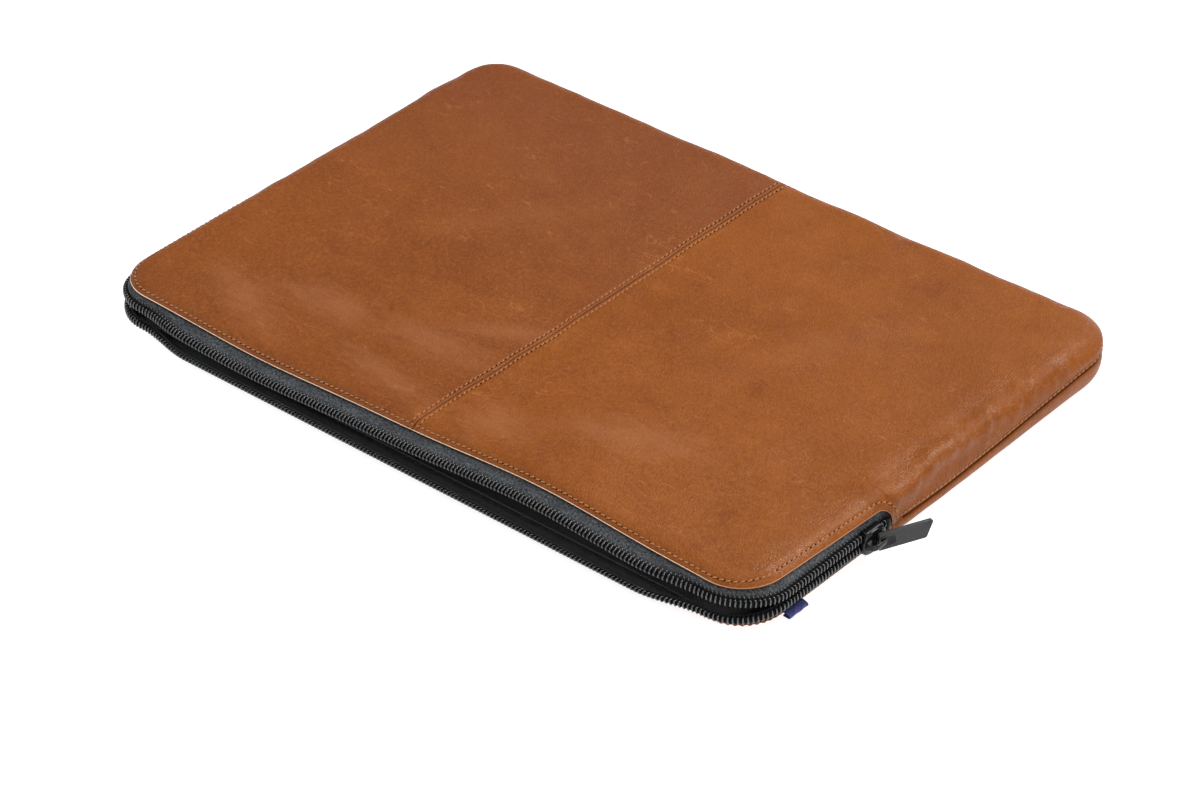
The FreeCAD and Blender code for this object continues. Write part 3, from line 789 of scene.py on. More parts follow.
# The coil's filler cord, near-black and matte: partly the cord, partly painted shade inside the coil
filler_cord_shade = gloss_material("coil_filler_and_shade", (0.003, 0.003, 0.0035), 0.9, 0.0, 0.1)
black_metal = gloss_material("black_metal", (0.0035, 0.0035, 0.004), 0.13, 0.18, 0.20)
dull_metal = gloss_material("dull_metal", (0.004, 0.004, 0.0045), 0.5, 0.05, 0.2)
puller_rubber = gloss_material("puller_rubber", (0.022, 0.022, 0.023), 0.42, 0.0, 0.3, fleck=0.12)
thread = thread_material()
needle_hole_shade = needle_hole_shade_material()


# Leather, foam and lining

def leather_depth(site):
    return LEATHER + (LIP_THICK - LEATHER) * (1 - ease(site.h / HEM))


def bottom_depth(site):
    return LEATHER + 0.2 * (1 - ease(site.h / 4.0))


def lining_depth(site):
    return np.full(len(site.x), LINING)


def attach(piece, body, slot, *old_nodes):
    """Hangs a piece on its body, or bakes its transform in place if it belongs to the mouth, and hides the
    CAD nodes it stands for.
    """
    if body == "mouth":
        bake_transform(piece)
    else:
        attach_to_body(piece, body)
    if old_nodes:
        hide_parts(*old_nodes)


TOP_SIDE_ARC = float(arc_at_height(SEAM_Z, True))
TOP_LIP_ARC = float(arc_at_height(SLOT_FRONT, True))
PAD_SLACK = 0.06
LINING_SLACK = 0.15
FOAM_HEM = 8.5             # the pads stop this far from the slot

for side, name in ((-1, "left"), (1, "right")):
    panel = shell("leather_panel_" + name, (side,), True, 0.0, 0.0, top_relief, leather_depth, leather,
                  gap=0.05)
    attach(panel, "mouth", "leather", "top_" + name + "_leather_rear", "top_" + name + "_leather_front")

bottom = shell("leather_bottom", (-1, 1), False, 0.0, 0.0, bottom_relief, bottom_depth, leather)
attach(bottom, "sleeve", "leather", "bottom_leather")


def lining_step(site):
    """A lining stands in from the leather by more beside the mouth, under the tape."""
    return -0.95 * (1 - ease((site.h - 1.0) / 6.0))


def top_lining_relief(site):
    return under_relief(site) + lining_step(site)


def low_lining_relief(site):
    return 0.05 * ripples(site.x, site.y, 61, 26.0) + lining_step(site)


def lining(name, upper, relief, body, lip, *old_nodes):
    piece = shell(name, (-1, 1), upper, LEATHER + FOAM + LINING_SLACK, LINING_SETBACK, relief, lining_depth,
                  lining_cloth)
    attach(piece, body, "lining_fabric", *old_nodes)


lining("lining_top", True, top_lining_relief, "mouth", 4.5, "top_lining_rear", "top_lining_front")
lining("lining_bottom", False, low_lining_relief, "sleeve", 3.0, "bottom_lining")


def top_pad_relief(site):
    return under_relief(site) - PAD_SLACK


def low_pad_relief(site):
    return -PAD_SLACK + 0.0 * site.x


def pad_depth(site):
    """Full depth inside, feathered to a thin edge beside the mouth and the closed seam."""
    near = np.minimum(site.h - FOAM_HEM, site.e + 30.0 * (1 - site.closed))
    return 0.4 + (FOAM - 0.55) * ease(near / 3.0)


def foam_pad(name, upper, relief, body, *old_nodes):
    """One pad, cut back from the slot by the width of the hem."""
    pad = shell(name, (-1, 1), upper, LEATHER + PAD_SLACK, LINING_SETBACK + 0.6, relief, pad_depth, foam_skin,
                cut=FOAM_HEM)
    attach(pad, body, "foam", *old_nodes)


foam_pad("foam_top", True, top_pad_relief, "mouth", "top_foam_rear", "top_foam_front")
foam_pad("foam_bottom", False, low_pad_relief, "sleeve", "bottom_foam")


# The mouth's path

SIDE_RUN = TAPE_END_Y + STRAIGHT_Y
CORNER_END = SIDE_RUN + ARC
PATH_LENGTH = 2 * (CORNER_END + STRAIGHT_FRONT)
MESH_RUN = TAPE_END_Y - MESH_START_Y
TAPE_STEP = 1.3
TAPE_COLUMNS = 22
# Where the last three columns of each tape stand along the front, outwards and in height
FLARED_TOP = ((-1.0, 17.0), (2.3, 15.8), (4.6, 13.9))
FLARED_LOW = ((-0.5, 3.8), (2.6, 5.3), (4.8, 7.1))


def path(t):
    """Outline point and normal at length t from the right-hand end of the mouth."""
    t = np.asarray(t, float)
    turned = t > PATH_LENGTH / 2
    run = np.where(turned, PATH_LENGTH - t, t)
    x, y, nx, ny = outline(STRAIGHT_FRONT + ARC + SIDE_RUN - run)
    side = np.where(turned, -1.0, 1.0)
    return x * side, y, nx * side, ny


def flare(t):
    """0 on the sides and 1 along the front, where the mouth gapes."""
    return ease((np.minimum(t, PATH_LENGTH - t) - CORNER_END) / FLARE_LENGTH)


def half_gap(t):
    """Half the distance between the coils, which close towards the right-hand end."""
    run = np.minimum(t, PATH_LENGTH - t)
    gap = OPEN_GAP + (CORNER_GAP - OPEN_GAP) * ease((run - SIDE_RUN + SPREAD_LEAD) / SPREAD_LENGTH)
    closing = (CLOSED_GAP - OPEN_GAP) * ease((MESH_RUN - run) / MESH_LENGTH)
    return gap + np.where(t < PATH_LENGTH / 2, closing, 0.0)


def lip_line(upper, t):
    """Outer face of a tape across its width: six (outwards, height) columns, root first."""
    t = np.asarray(t, float)
    y = path(t)[1]
    amount, gap = flare(t), half_gap(t)
    spread = np.maximum(0.0, gap - OPEN_GAP) * 0.6
    s_edge = arc_at_height(edge_height(np.minimum(y, SLOT_ARC_Y), upper), upper)
    thick = LIP_THICK if upper else LEATHER + 0.25
    line = []
    for back, inset in ((5.5, thick - 0.35), (2.8, thick - 0.02), (0.4, thick + 0.15)):
        line.append(section(s_edge - back, inset, upper)[:2])
    up = skin_shape(upper)[1]
    root = (-1.85, 15.9 + spread) if upper else (-1.6, 4.8 - spread)
    upright = (root, (TAPE_OUT, ZIP_Z + up * (gap + COIL_WIDTH)), (TAPE_OUT, ZIP_Z + up * gap))
    for (a, b), (c, d) in zip(upright, FLARED_TOP if upper else FLARED_LOW):
        line.append((a + (c - a) * amount, b + (d - b) * amount))
    return np.stack([np.stack(p, axis=-1) for p in line], axis=1)


def place(t, section_points, upper):
    """Points in space from path lengths and their (outwards, height) pairs."""
    x, y, nx, ny = path(t)
    out, z = section_points[..., 0], section_points[..., 1]
    px, py = x + nx * out, y + ny * out
    return np.stack([px, py, z + wave(px, py, upper)], axis=-1)


def outward(run, upper):
    """Outward normals of a tape whose section runs in the given directions."""
    return np.stack([-run[..., 1], run[..., 0]], axis=-1) * skin_shape(upper)[1]


def spread_line(line, count):
    """Resamples each polyline (n x k x 2) to count points, rounding its bends."""
    k = line.shape[1]
    at = np.linspace(0, k - 1, count)
    base = np.clip(at.astype(int), 0, k - 2)
    f = (at - base)[None, :, None]
    p1, p2 = line[:, base], line[:, base + 1]
    m1 = (p2 - line[:, np.maximum(base - 1, 0)]) / 2
    m2 = (line[:, np.minimum(base + 2, k - 1)] - p1) / 2
    return ((2 * f ** 3 - 3 * f ** 2 + 1) * p1 + (f ** 3 - 2 * f ** 2 + f) * m1
            + (-2 * f ** 3 + 3 * f ** 2) * p2 + (f ** 3 - f ** 2) * m2)


def tape_piece(name, upper):
    """Woven tape: outer face, inner face and narrow edges, with weave coordinates."""
    t = np.linspace(0.0, PATH_LENGTH, int(PATH_LENGTH / TAPE_STEP))
    column = np.arange(TAPE_COLUMNS)
    line = spread_line(lip_line(upper, t), TAPE_COLUMNS)
    normal = outward(unit(np.gradient(line, axis=1)), upper)
    crumple = 0.10 * ripples(t[:, None], column[None, :] * 0.5, 71, 21.0) * ease(column / 8.0 - 1.0)[None, :]
    outer = line + normal * crumple[..., None]
    widths = np.cumsum(np.linalg.norm(np.diff(line, axis=1), axis=2), axis=1)
    widths = np.concatenate([np.zeros((len(t), 1)), widths], axis=1)
    tt = np.repeat(t[:, None], TAPE_COLUMNS, 1)
    faces = sheet_faces(len(t), TAPE_COLUMNS)
    points = [place(tt, face, upper).reshape(-1, 3) for face in (outer, outer - normal * TAPE)]
    tape = build(name, np.concatenate(points), faces, tape_cloth, fix=False)
    weave = np.stack([tt.ravel(), (widths[:, -1:] - widths).ravel()], axis=1)
    weave = np.concatenate([weave, weave])
    index = np.empty(len(tape.data.loops), int)
    tape.data.loops.foreach_get("vertex_index", index)
    uv = tape.data.uv_layers.new(name="weave")
    uv.data.foreach_set("uv", weave[index].astype(np.float32).ravel())
    face_outwards(tape.data)
    return tape


COIL_PITCH = 1.85
COIL_REACH = 1.70          # half the coil's width
COIL_HALF_THICK = 0.78
WIRE = 0.38
TURN_POINTS = 22
WIRE_SIDES = 6
CORE_HALF_W = 1.35         # filler cord inside the coil
CORE_HALF_T = 0.42
CORE_SIDES = 8


def anchor_row(upper, first, turns, start):
    """The sewing that holds the coil to its tape: one flat stitch a turn, beside the coil."""
    rings, sides = 5, 6
    t = first + (np.arange(turns) + 0.5) * COIL_PITCH
    line = lip_line(upper, t)
    inward = unit(line[:, -3] - line[:, -2])
    normal = -outward(inward, upper)
    points = []
    for share in np.linspace(0.0, 1.0, rings):
        arch = math.sin(math.pi * share)
        centre = line[:, -2] + inward * (1.35 * share - 0.15) + normal * (0.05 + 0.07 * arch)
        size = 0.45 + 0.55 * arch ** 0.5
        for q in range(sides):
            turn = math.tau * q / sides
            raised = centre + normal * (0.24 * size * math.sin(turn))
            points.append(place(t + 0.5 * (share - 0.5) + 0.42 * size * math.cos(turn), raised, upper))
    faces = []
    for i in range(turns):
        faces += tube_faces(rings, sides, start + rings * sides * i)
    return np.stack(points, axis=1).reshape(-1, 3), faces


def signed_power(value, power):
    return np.sign(value) * np.abs(value) ** power


def coil_piece(name, upper, phase):
    """One nylon coil: a flattened helix wound along the tape's free edge, with its filler cord, near-black
    and matte as painted shade inside the coil.
    """
    first = TAPE_END_Y - COIL_END_Y
    turns = int((PATH_LENGTH - 2 * first) / COIL_PITCH)
    count = turns * TURN_POINTS + 1
    t = first + np.arange(count) * COIL_PITCH / TURN_POINTS
    line = lip_line(upper, t)
    across = unit(line[:, -1] - line[:, -2])
    normal = outward(across, upper)
    angle = math.tau * (t - first) / COIL_PITCH + phase
    wide = signed_power(np.cos(angle), 0.8)
    high = signed_power(np.sin(angle), 0.75) * COIL_HALF_THICK
    head = 1.0 + 0.16 * ease((wide - 0.4) / 0.6)
    centre = (line[:, -2] + line[:, -1]) / 2 + normal * (COIL_HALF_THICK + WIRE + 0.05)
    pos = centre + across * (wide * (COIL_REACH - WIRE))[:, None] + normal * (high * head)[:, None]
    wire = place(t + 0.21 * COIL_PITCH * wide, pos, upper)
    run = unit(np.gradient(wire, axis=0))
    nx, ny = path(t)[2:]
    side_dir = np.stack([nx * across[:, 0], ny * across[:, 0], across[:, 1]], axis=1)
    out_dir = np.stack([nx * normal[:, 0], ny * normal[:, 0], normal[:, 1]], axis=1)
    u_dir = unit(np.cross(run, np.cross(side_dir, out_dir)))
    v_dir = np.cross(run, u_dir)
    rings = []
    for k in range(WIRE_SIDES):
        turn = math.tau * k / WIRE_SIDES
        rings.append(wire + WIRE * (math.cos(turn) * u_dir + math.sin(turn) * v_dir))
    points = np.stack(rings, axis=1).reshape(-1, 3)
    sewn, sewn_faces = anchor_row(upper, first, turns, len(points))
    points = np.concatenate([points, sewn])
    faces = tube_faces(count, WIRE_SIDES, 0) + sewn_faces
    every = slice(0, count, TURN_POINTS // 2)
    around = math.tau * np.arange(CORE_SIDES) / CORE_SIDES
    wide = (CORE_HALF_W * signed_power(np.cos(around), 0.6))[None, :, None]
    high = (CORE_HALF_T * np.sin(around))[None, :, None]
    flat = centre[every, None] + across[every, None] * wide + normal[every, None] * high
    filler = place(np.repeat(t[every, None], CORE_SIDES, 1), flat, upper)
    wound = len(faces)
    faces += tube_faces(len(filler), CORE_SIDES, len(points))
    coil = build(name, np.concatenate([points, filler.reshape(-1, 3)]), faces, coil_nylon, fix=False)
    coil.data.materials.append(filler_cord_shade)
    coil.data.polygons.foreach_set("material_index", [0] * wound + [1] * (len(faces) - wound))
    return coil


# Both sides of the zip: name, whether it is the upper one, body, the coil's phase, the layer that the
# tape rests on, and the endings of its CAD names
ZIP_SIDES = (("upper", True, "mouth", 0.0, "lining_top", ("", "_ends")),
             ("lower", False, "sleeve", math.pi, "lining_bottom", ("",)))

for name, upper, body, _, under, endings in ZIP_SIDES:
    tape = tape_piece("zip_tape_" + name, upper)
    attach(tape, body, "zip_tape", *[name + "_zip_tape" + ending for ending in endings])

for name, upper, body, phase, _, endings in ZIP_SIDES:
    coil = coil_piece("zip_coil_" + name, upper, phase)
    attach(coil, body, "zip_coil", *[name + "_zip_coil" + ending for ending in endings])


# Stitches

class Site:
    """Places on the skin's roll and wall, as the relief functions want them."""

    def __init__(self, side, u, s, e, upper):
        x, y, nx, ny = outline(u)
        out, self.z, n_out, n_up = section(s, 0.0, upper)
        self.x, self.y, self.upper = (x + nx * out) * side, y + ny * out, upper
        self.s, self.e, self.u = s, e, u
        self.h = hem_distance(y, s, e, upper)
        self.closed = closed_share(y)
        self.normal = np.stack([nx * n_out * side, ny * n_out, n_up], axis=-1)

    def skin(self):
        relief = top_relief if self.upper else bottom_relief
        point = np.stack([self.x, self.y, self.z], axis=-1)
        point = point + self.normal * relief(self)[:, None]
        point[:, 2] += wave(self.x, self.y, self.upper) + seam_lift(self, self.z)
        return point, self.normal


def middle_dents(x, y):
    """The top leather's low relief along the centre seam, which fades towards both edges."""
    front = TOP_LIP_ARC + HALF_D - TOP_ROLL + y
    back = TOP_SIDE_ARC + HALF_D - TOP_ROLL - y
    return soft_dents(x, y) * ease((np.minimum(front, back) - 4.0) / 12.0)


def centre_row(side):
    """One row beside the centre seam, from the mouth's row over the top to the back seam's."""
    y = np.linspace(-HALF_D + TOP_ROLL, HALF_D - TOP_ROLL, 1600)
    x = np.full_like(y, side * CENTRE_ROW)
    z = TOP_Z + middle_dents(x, y) + seam_relief(x, y) + front_wave(x, y)
    rolls = []
    for u, edge, stop in ((CENTRE_ROW, TOP_LIP_ARC, FRONT_INSET + 1.2),
                          (HALF_OUTLINE - CENTRE_ROW, TOP_SIDE_ARC, 3.4)):
        s = np.linspace(0.02, edge - stop, 60)
        rolls.append(Site(side, np.full_like(s, u), s, edge - s, True).skin())
    (front, front_up), (back, back_up) = rolls
    points = np.concatenate([front[::-1], np.stack([x, y, z], axis=-1), back])
    return points, np.concatenate([front_up[::-1], np.repeat(UP[None, :], len(x), 0), back_up])


def resample(points, normals):
    """Evenly spaced stitch ends along a row, with normals."""
    steps = np.linalg.norm(np.diff(points, axis=0), axis=1)
    along = np.concatenate([[0.0], np.cumsum(steps)])
    count = max(2, int(round(along[-1] / STITCH)))
    at = np.linspace(0, along[-1], count + 1)
    at_points, at_normals = [
        np.stack([np.interp(at, along, line) for line in values.T], axis=1) for values in (points, normals)]
    return at_points, unit(at_normals)


THREAD_R = 0.36            # half the thread's width
THREAD_RISE = 0.42         # a stitch stands this far over the leather at its middle
STITCH_RINGS = 7
STITCH_SIDES = 6
HOLE_SIDES = 8


def add_stitch(store, a, b, normal, lean):
    """One arched, rounded stitch between two needle holes."""
    run = b - a
    across = unit(np.cross(normal, run))
    start = a + run * 0.12 - across * lean / 2
    end = b - run * 0.12 + across * lean / 2
    base = len(store["points"])
    for share in np.linspace(0.0, 1.0, STITCH_RINGS):
        arch = max(0.0, math.sin(math.pi * share))
        centre = start + (end - start) * share + normal * (THREAD_RISE * arch ** 0.7 - 0.12)
        size = THREAD_R * (0.45 + 0.55 * arch ** 0.5)
        for q in range(STITCH_SIDES):
            turn = math.tau * q / STITCH_SIDES
            store["points"].append(centre + size * (math.cos(turn) * across + 0.8 * math.sin(turn) * normal))
    store["faces"] += tube_faces(STITCH_RINGS, STITCH_SIDES, base)


def add_hole(store, at, run, normal, radius):
    """A low dark lens where the needle went through: painted shade in the hole."""
    across = np.cross(normal, run)
    base = len(store["points"])
    for size, lift in ((radius, 0.03), (0.7 * radius, 0.08)):
        for q in range(HOLE_SIDES):
            turn = math.tau * q / HOLE_SIDES
            flat = run * math.cos(turn) + across * math.sin(turn)
            store["points"].append(at + size * flat + lift * normal)
    store["faces"] += tube_faces(2, HOLE_SIDES, base)


def stitch_row(store, holes, points, normals, hole, slant=0.5):
    """A row of stitches, with a hole at each end of each stitch."""
    pts, nrm = resample(points, normals)
    draw = np.random.default_rng(len(store["points"]) + 5)
    last = len(pts) - 1
    for i in range(len(pts)):
        add_hole(holes, pts[i], unit(pts[min(i + 1, last)] - pts[max(i - 1, 0)]), nrm[i], hole)
        if i < last:
            lean = slant * (0.8 + 0.4 * draw.random())
            add_stitch(store, pts[i], pts[i + 1], unit(nrm[i] + nrm[i + 1]), lean)


def mouth_row(side, upper):
    """The row along one lip, with its turn round the zip's end as far as the closed seam."""
    middle = float(arc_at_height(SLOT_MIDDLE, upper))
    lip = float(arc_at_height(SLOT_SIDE if upper else SLOT_LOW, upper))
    seam = float(arc_at_height(SEAM_Z, upper))
    run_end = STRAIGHT_FRONT + ARC + SLOT_ARC_Y + STRAIGHT_Y
    u = np.linspace(0.0, run_end, 900)
    y = outline(u)[1]
    inset = row_inset(u, upper)
    low = math.asin((middle - seam + 1.2) / (SLOT_HALF + THREAD_INSET))
    turn = np.linspace(math.pi / 2, low, 60)[1:]
    reach = SLOT_HALF + (middle - lip - SLOT_HALF) * np.sin(turn) ** 2 + THREAD_INSET
    s_turn = middle - reach * np.sin(turn)
    s = np.concatenate([arc_at_height(edge_height(y, upper), upper) - inset, s_turn])
    e = np.concatenate([inset, seam - s_turn])
    return Site(side, np.concatenate([u, run_end + reach * np.cos(turn)]), s, e, upper)


def seam_row(side):
    """The row over the turned seam, from one zip end to the middle of the back."""
    u = np.linspace(STRAIGHT_FRONT + ARC + STRAIGHT_Y + ZIP_END_Y + THREAD_INSET + 2.0, HALF_OUTLINE, 900)
    e = np.full_like(u, SEAM_ROW)
    return Site(side, u, TOP_SIDE_ARC - e, e, True)


def thread_piece(name, rows, body, old_nodes, hole=0.37):
    """Stitches and their needle holes as two pieces."""
    stitches, holes = {"points": [], "faces": []}, {"points": [], "faces": []}
    for points, normals in rows:
        stitch_row(stitches, holes, points, normals, hole)
    sewn = build("stitches_" + name, stitches["points"], stitches["faces"], thread, fix=False)
    attach(sewn, body, "thread", *old_nodes)
    pricked = build("needle_holes_" + name, holes["points"], holes["faces"], needle_hole_shade, fix=False)
    attach(pricked, body, "thread")


SIDES = (1, -1)
thread_piece("upper_mouth", [mouth_row(side, True).skin() for side in SIDES], "mouth",
             ("upper_mouth_thread_rear", "upper_mouth_thread_front"))
thread_piece("lower_mouth", [mouth_row(side, False).skin() for side in SIDES], "sleeve",
             ("lower_mouth_thread",))
thread_piece("edge_seam", [seam_row(side).skin() for side in SIDES], "sleeve", ("edge_seam_thread",))
thread_piece("centre_seam", [centre_row(side) for side in SIDES], "mouth",
             ("centre_seam_thread_rear", "centre_seam_thread_front"), 0.44)


# Backing strip under the centre seam

def backing_strip():
    low, high = corners("top_seam_backing_rear")
    front = corners("top_seam_backing_front")[0][1]
    xs = np.linspace(low[0], high[0], 13)
    ys = np.linspace(front, high[1], 160)
    gx, gy = np.meshgrid(xs, ys, indexing="ij")
    top = TOP_Z - LEATHER - 0.02 + middle_dents(gx, gy) + front_wave(gx, gy)
    top = top + np.minimum(seam_relief(gx, gy), 0.0)
    upper = np.stack([gx, gy, top], axis=-1).reshape(-1, 3)
    faces = sheet_faces(len(xs), len(ys))
    strip = build("seam_backing", np.concatenate([upper, upper - UP * 0.3]), faces, backing_cloth)
    attach(strip, "mouth", "backing_cloth", "top_seam_backing_rear", "top_seam_backing_front")


backing_strip()


# Slider, puller, stops and side tab

def stacked(rings):
    """Closed form from rings of equal length."""
    return np.concatenate(rings), tube_faces(len(rings), len(rings[0]), 0)


def inset_outline(points, amount):
    """Closed outline (n x 2, counter-clockwise) moved inwards."""
    along = unit(np.roll(points, -1, axis=0) - np.roll(points, 1, axis=0))
    return points + np.stack([-along[:, 1], along[:, 0]], axis=1) * amount


def rounded_slab(outline_yz, x_low, x_high, round_off, steps=5):
    """Plate lying in the Y-Z plane between two x, its rims rounded, its outer face a little crowned."""
    layers = []
    for end, start, sign in ((0, x_low, 1), (1, x_high, -1)):
        for k in range(steps + 1):
            turn = math.pi / 2 * (steps - k if end else k) / steps
            ring = inset_outline(outline_yz, round_off * (1 - math.sin(turn)))
            layers.append((start + sign * round_off * (1 - math.cos(turn)), ring))
    middle = outline_yz.mean(axis=0)
    inner = inset_outline(outline_yz, round_off)
    for share in (0.75, 0.45, 0.15):
        ring = middle + (inner - middle) * share
        layers.append((x_high + 0.18 * (1 - share ** 2), ring))
        layers.insert(0, (x_low, ring))
    return stacked([np.column_stack([np.full(len(r), x), r[:, 0], r[:, 1]]) for x, r in layers])


def sweep(path_points, half_a, half_b, plane_normal, power=0.7, sides=12):
    """Rounded bar along a path. half_a lies in the path's plane, half_b along its normal."""
    path_points = np.asarray(path_points, float)
    b = np.asarray(plane_normal, float)
    a = np.cross(b, unit(np.gradient(path_points, axis=0)))
    half_a = np.broadcast_to(half_a, len(path_points))
    half_b = np.broadcast_to(half_b, len(path_points))
    turn = math.tau * np.arange(sides) / sides
    wide, high = signed_power(np.cos(turn), power), signed_power(np.sin(turn), power)
    rings = []
    for i, point in enumerate(path_points):
        rings.append(point + (half_a[i] * wide)[:, None] * a[i] + (half_b[i] * high)[:, None] * b)
    return stacked(rings)


def smooth_path(points, count):
    """A curve through the given points."""
    return spread_line(np.asarray(points, float)[None, ...], count)[0]


def merge(parts):
    points, faces, start = [], [], 0
    for pts, fcs in parts:
        points.append(np.asarray(pts))
        faces += [[start + i for i in f] for f in fcs]
        start += len(pts)
    return np.concatenate(points), faces


SLIDER_Y = -47.0
SLIDER_HALF_LENGTH = 6.9
SLIDER_HALF_WIDTH = 5.0
FRONT_PLATE = (171.5, 172.9)
BACK_PLATE = (166.0, 167.3)
WALL_X = 170.6             # the plate's turned edges, which hold the tapes
WEDGE_X = 169.4            # the post that parts the coils
# The bridge's path: outwards, and along the slider from its middle
BRIDGE = ((172.2, 5.4), (173.4, 5.3), (175.1, 4.7), (176.05, 2.8), (176.2, 0.0), (176.05, -2.8),
          (175.1, -4.6), (173.4, -5.2), (172.2, -5.2))
BRIDGE_STEPS = 40
PIN = np.array([174.2, SLIDER_Y, ZIP_Z])
PULLER_TILT = math.radians(25.0)


def slider_outline(shrink, count=44):
    """Wide and round at the open end, narrow at the closed end."""
    turn = math.tau * np.arange(count) / count
    y = SLIDER_Y - 0.1 + SLIDER_HALF_LENGTH * signed_power(np.cos(turn), 0.78)
    taper = SLIDER_HALF_WIDTH - 0.55 * ease((y - SLIDER_Y + 3.0) / 9.0)
    return inset_outline(np.stack([y, ZIP_Z + taper * signed_power(np.sin(turn), 0.72)], axis=1), shrink)


def slider_piece():
    outer = rounded_slab(slider_outline(0.0), *FRONT_PLATE, 0.62)
    back = rounded_slab(slider_outline(0.8), *BACK_PLATE, 0.5)
    walls = []
    for sign in (-1, 1):
        ys = np.linspace(SLIDER_Y - 4.6, SLIDER_Y + 5.2, 9)
        line = np.column_stack([np.full(9, WALL_X), ys, np.full(9, ZIP_Z + sign * 4.48)])
        walls.append(sweep(line, 0.40, 1.45, (1, 0, 0), power=0.5))
    wedge_line = [(WEDGE_X, SLIDER_Y - 6.2 + 0.4 * k, ZIP_Z) for k in range(8)]
    wedge = sweep(wedge_line, 0.6, 2.3, (1, 0, 0), power=0.5)
    arch = smooth_path([(x, SLIDER_Y + y) for x, y in BRIDGE], BRIDGE_STEPS)
    line = np.column_stack([arch, np.full(BRIDGE_STEPS, ZIP_Z)])
    span = np.abs(np.linspace(-1, 1, BRIDGE_STEPS))
    bridge = sweep(line, 0.52 + 0.12 * span, 1.22 + 0.25 * span ** 2, (0, 0, 1), power=0.6)
    return merge([outer, back, wedge, bridge] + walls)


def puller_frame(along, out, z):
    """Point given along the grip, outwards through its thickness, and in height."""
    d = np.array([math.sin(PULLER_TILT), math.cos(PULLER_TILT), 0.0])
    n = np.array([math.cos(PULLER_TILT), -math.sin(PULLER_TILT), 0.0])
    return PIN + d * along + n * out + UP * z


RING_WIRE = 0.62
# Upper half of the ring's path from the grip to the pin: along the grip, and in height
RING_PATH = ((9.0, 2.35), (5.0, 2.4), (1.9, 2.4), (0.5, 2.05), (0.0, 1.2))


def ring_piece():
    """U-shaped wire: its pin goes through the bridge and its arms run into the grip."""
    knots = list(RING_PATH) + [(0.0, 0.0)] + [(along, -z) for along, z in RING_PATH[::-1]]
    line = np.array([puller_frame(a, 0.0, z) for a, z in smooth_path(knots, 60)])
    n = puller_frame(0, 1, 0) - puller_frame(0, 0, 0)
    return sweep(line, RING_WIRE, RING_WIRE, n, power=0.85)


GRIP_START = -0.1
GRIP_END = 23.0
GRIP_HALF_W = 3.9
GRIP_HALF_T = 1.0
FORK_END = 6.8
FORK_HALF = 1.75
GRIP_SLANT = 2.4
# Half of the grip's bevelled rim: inset, and height over its middle
GRIP_RIM = ((0.0, 0.3), (0.06, 0.62), (0.28, 0.9), (0.5, 1.0), (0.75, 0.98), (0.95, 0.86))


def grip_outline():
    """The grip seen from its face: a fork round the bridge, and a slanted, rounded far end."""
    w, f = GRIP_HALF_W, FORK_HALF
    start, fork, end = GRIP_START, FORK_END, GRIP_END
    low_end = end - GRIP_SLANT
    return np.array([
        (start + 0.5, w), (start, w - 0.6), (start, f + 0.5), (start + 0.4, f),
        (fork - 0.5, f), (fork, f - 0.5), (fork, 0.5 - f), (fork - 0.5, -f),
        (start + 0.4, -f), (start, -f - 0.5), (start, 0.6 - w), (start + 0.5, -w),
        (9.0, -w), (13.0, -w), (17.0, -w), (low_end - 0.9, -w), (low_end, 0.7 - w),
        (end - GRIP_SLANT / 2, 0.0), (end, w - 0.9), (end - 0.7, w), (17.0, w), (13.0, w), (9.0, w)])


def grip_piece():
    """Slab with bevelled rims, its faces dished a little inside a raised border."""
    base = grip_outline()
    layers = []
    for inset, out in [(inset, -out) for inset, out in GRIP_RIM[::-1]] + list(GRIP_RIM):
        ring = inset_outline(base, inset)
        layers.append(np.array([puller_frame(a, out * GRIP_HALF_T, z) for a, z in ring]))
    return stacked(layers)


def metal_piece(name, shape, material, body, slot, old_node):
    attach(build(name, *shape, material), body, slot, old_node)


metal_piece("slider", slider_piece(), black_metal, "zip_slider", "black_metal", "slider_body")
metal_piece("puller_loop", ring_piece(), black_metal, "puller", "black_metal", "puller_ring")
metal_piece("puller_pull", grip_piece(), puller_rubber, "puller", "puller_rubber", "puller_grip")


def clip(node_name, parting=None):
    """Rounded clip pressed over the coils in place of a CAD stop, in two halves if it is parted."""
    low, high = corners(node_name)
    spans = [(low[2], high[2])]
    if parting is not None:
        spans = [(low[2], ZIP_Z - parting), (ZIP_Z + parting, high[2])]
    bulge = 0.25 * np.sin(math.pi * np.linspace(0, 1, 9)) ** 0.5
    x = math.copysign(1.0, low[0]) * (min(abs(low[0]), abs(high[0])) + 1.15 + bulge)
    parts = []
    for z_low, z_high in spans:
        zs = np.linspace(z_low + 0.3, z_high - 0.3, 9)
        line = np.column_stack([x, np.full(9, (low[1] + high[1]) / 2), zs])
        parts.append(sweep(line, 1.15, 1.2, (0, 1, 0), power=0.6))
    name = node_name.replace("zip_", "clip_")
    metal_piece(name, merge(parts), dull_metal, "sleeve", "black_metal", node_name)


clip("zip_bottom_stop")
clip("zip_top_stops", OPEN_GAP - 0.05)


TAB_FOLD = ((0.0, 0.55), (0.35, 0.62), (0.75, 0.5), (0.93, 0.38))
TAB_THICK = 0.32
TAB_TILT = 0.18


